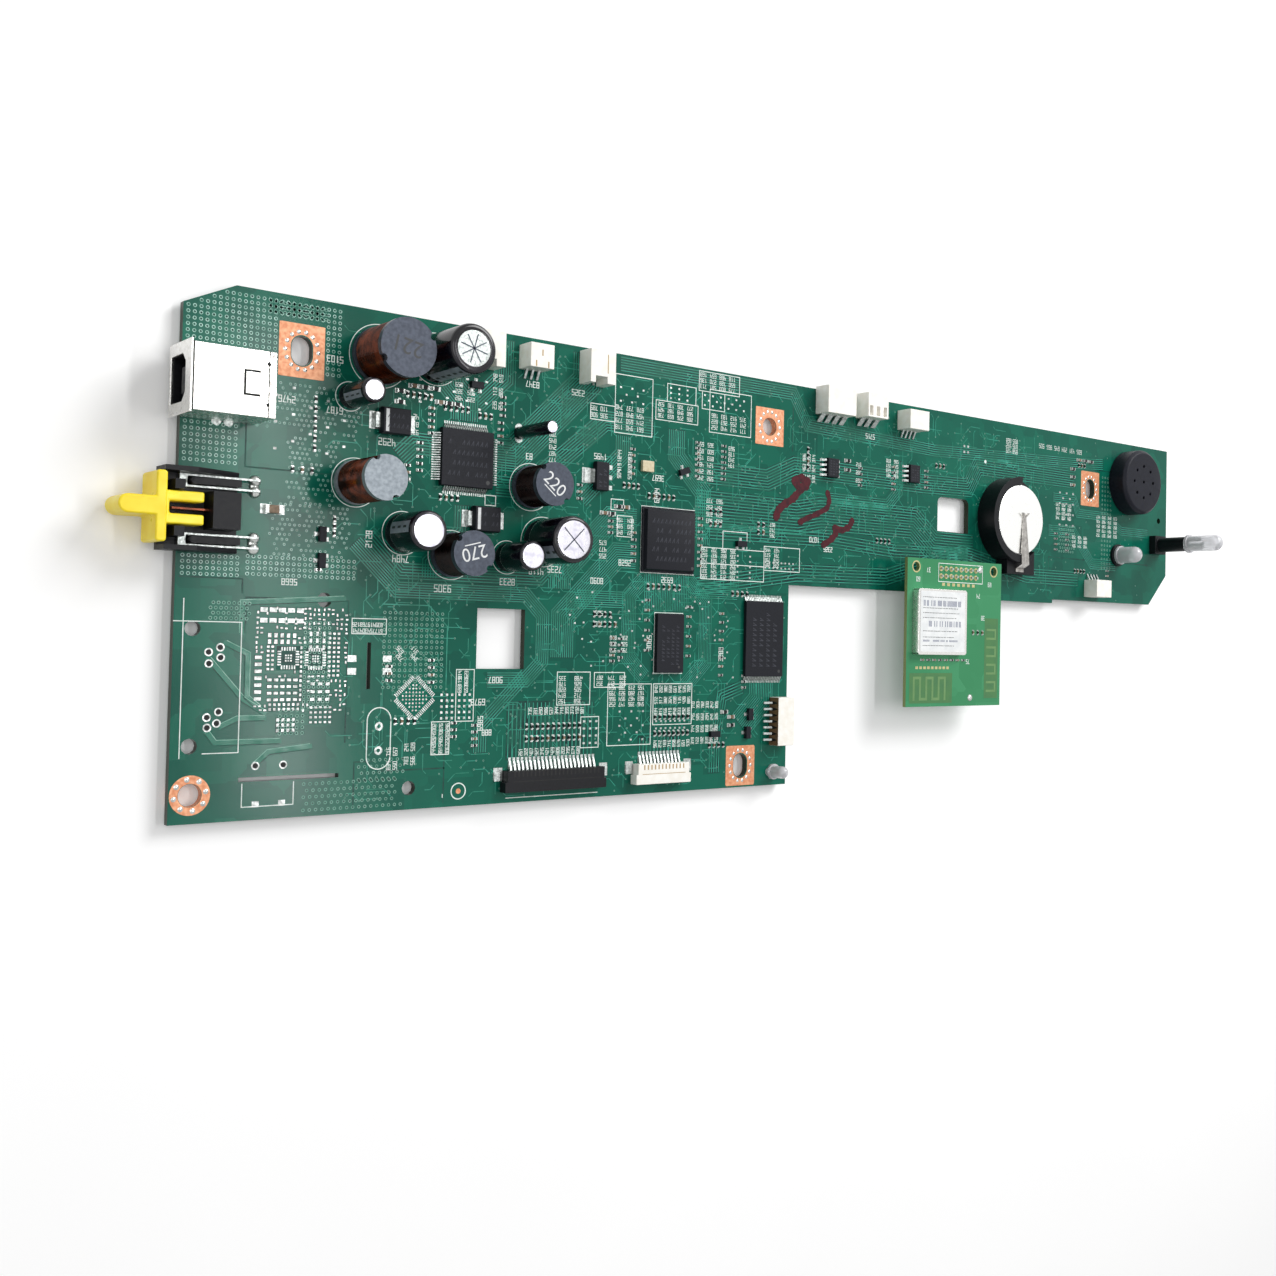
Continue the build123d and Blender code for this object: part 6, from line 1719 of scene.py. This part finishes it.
class BoardPrint(bpy.types.Operator):
    """Prints the part outlines and numbers, and the marker strokes"""
    bl_idname = "board.printing"
    bl_label = "Printing and marker"

    def execute(self, context):
        make_print()
        make_marker()
        return {"FINISHED"}


class BoardSmallParts(bpy.types.Operator):
    """Sets the chip resistors, chip capacitors and three-leg packages"""
    bl_idname = "board.small_parts"
    bl_label = "Small parts"

    def execute(self, context):
        make_small_parts()
        return {"FINISHED"}


class BoardPorts(bpy.types.Operator):
    """Finishes the USB port and the power inlet"""
    bl_idname = "board.ports"
    bl_label = "Ports"

    def execute(self, context):
        make_ports()
        return {"FINISHED"}


class BoardChokes(bpy.types.Operator):
    """Winds the chokes and prints their values"""
    bl_idname = "board.chokes"
    bl_label = "Chokes"

    def execute(self, context):
        make_chokes(context.scene.board_sizes)
        return {"FINISHED"}


class BoardCapacitors(bpy.types.Operator):
    """Makes the electrolytic cans and their sleeves"""
    bl_idname = "board.capacitors"
    bl_label = "Capacitors"

    def execute(self, context):
        make_capacitors()
        return {"FINISHED"}


class BoardChips(bpy.types.Operator):
    """Finishes the chips, diodes and their pads"""
    bl_idname = "board.chips"
    bl_label = "Chips"

    def execute(self, context):
        make_chips()
        return {"FINISHED"}


class BoardConnectors(bpy.types.Operator):
    """Finishes the wire headers and the ribbon sockets"""
    bl_idname = "board.connectors"
    bl_label = "Headers and ribbon sockets"

    def execute(self, context):
        make_headers()
        make_ribbon_sockets()
        return {"FINISHED"}


class BoardCell(bpy.types.Operator):
    """Makes the coin cell and finishes its holder"""
    bl_idname = "board.cell"
    bl_label = "Coin cell"

    def execute(self, context):
        make_cell()
        return {"FINISHED"}


class BoardSignals(bpy.types.Operator):
    """Finishes the sounder and casts the lamps"""
    bl_idname = "board.signals"
    bl_label = "Sounder and lamps"

    def execute(self, context):
        make_sounder()
        make_lamps()
        return {"FINISHED"}


class BoardRadio(bpy.types.Operator):
    """Finishes the raised radio module"""
    bl_idname = "board.radio"
    bl_label = "Radio module"

    def execute(self, context):
        make_radio()
        return {"FINISHED"}


class BoardUnderside(bpy.types.Operator):
    """Solders the leads and finishes the underside"""
    bl_idname = "board.underside"
    bl_label = "Solder and underside"

    def execute(self, context):
        make_solder()
        make_underside()
        return {"FINISHED"}


class BoardStudio(bpy.types.Operator):
    """Sets the floor, the lamps and the camera"""
    bl_idname = "board.studio"
    bl_label = "Studio"

    def execute(self, context):
        make_floor(context.scene.board_stage)
        make_lights(context.scene.board_stage)
        make_camera(context.scene.board_stage)
        return {"FINISHED"}


STEPS = (BoardFinishes, BoardSurface, BoardPrint, BoardSmallParts, BoardPorts, BoardChokes, BoardCapacitors,
         BoardChips, BoardConnectors, BoardCell, BoardSignals, BoardRadio, BoardUnderside, BoardStudio)
GROUPS = {"board_look": BoardLook, "board_sizes": BoardSizes, "board_stage": BoardStage}


class BoardPanel(bpy.types.Panel):
    """Lists the steps and their settings in the sidebar"""
    bl_idname = "VIEW3D_PT_board"
    bl_label = "Controller board"
    bl_space_type = "VIEW_3D"
    bl_region_type = "UI"
    bl_category = "Board"

    def draw(self, context):
        for name, group in GROUPS.items():
            for key in group.__annotations__:
                self.layout.prop(getattr(context.scene, name), key)
        for step in STEPS:
            self.layout.operator(step.bl_idname)


def register():
    for kind in (*GROUPS.values(), *STEPS, BoardPanel):
        bpy.utils.register_class(kind)
    for name, group in GROUPS.items():
        setattr(bpy.types.Scene, name, bpy.props.PointerProperty(type=group))


def unregister():
    for name in GROUPS:
        delattr(bpy.types.Scene, name)
    for kind in (BoardPanel, *reversed(STEPS), *reversed(GROUPS.values())):
        bpy.utils.unregister_class(kind)


def main():
    register()
    for step in STEPS:
        group, action = step.bl_idname.split(".")
        getattr(getattr(bpy.ops, group), action)()


if __name__ == "__main__":
    main()
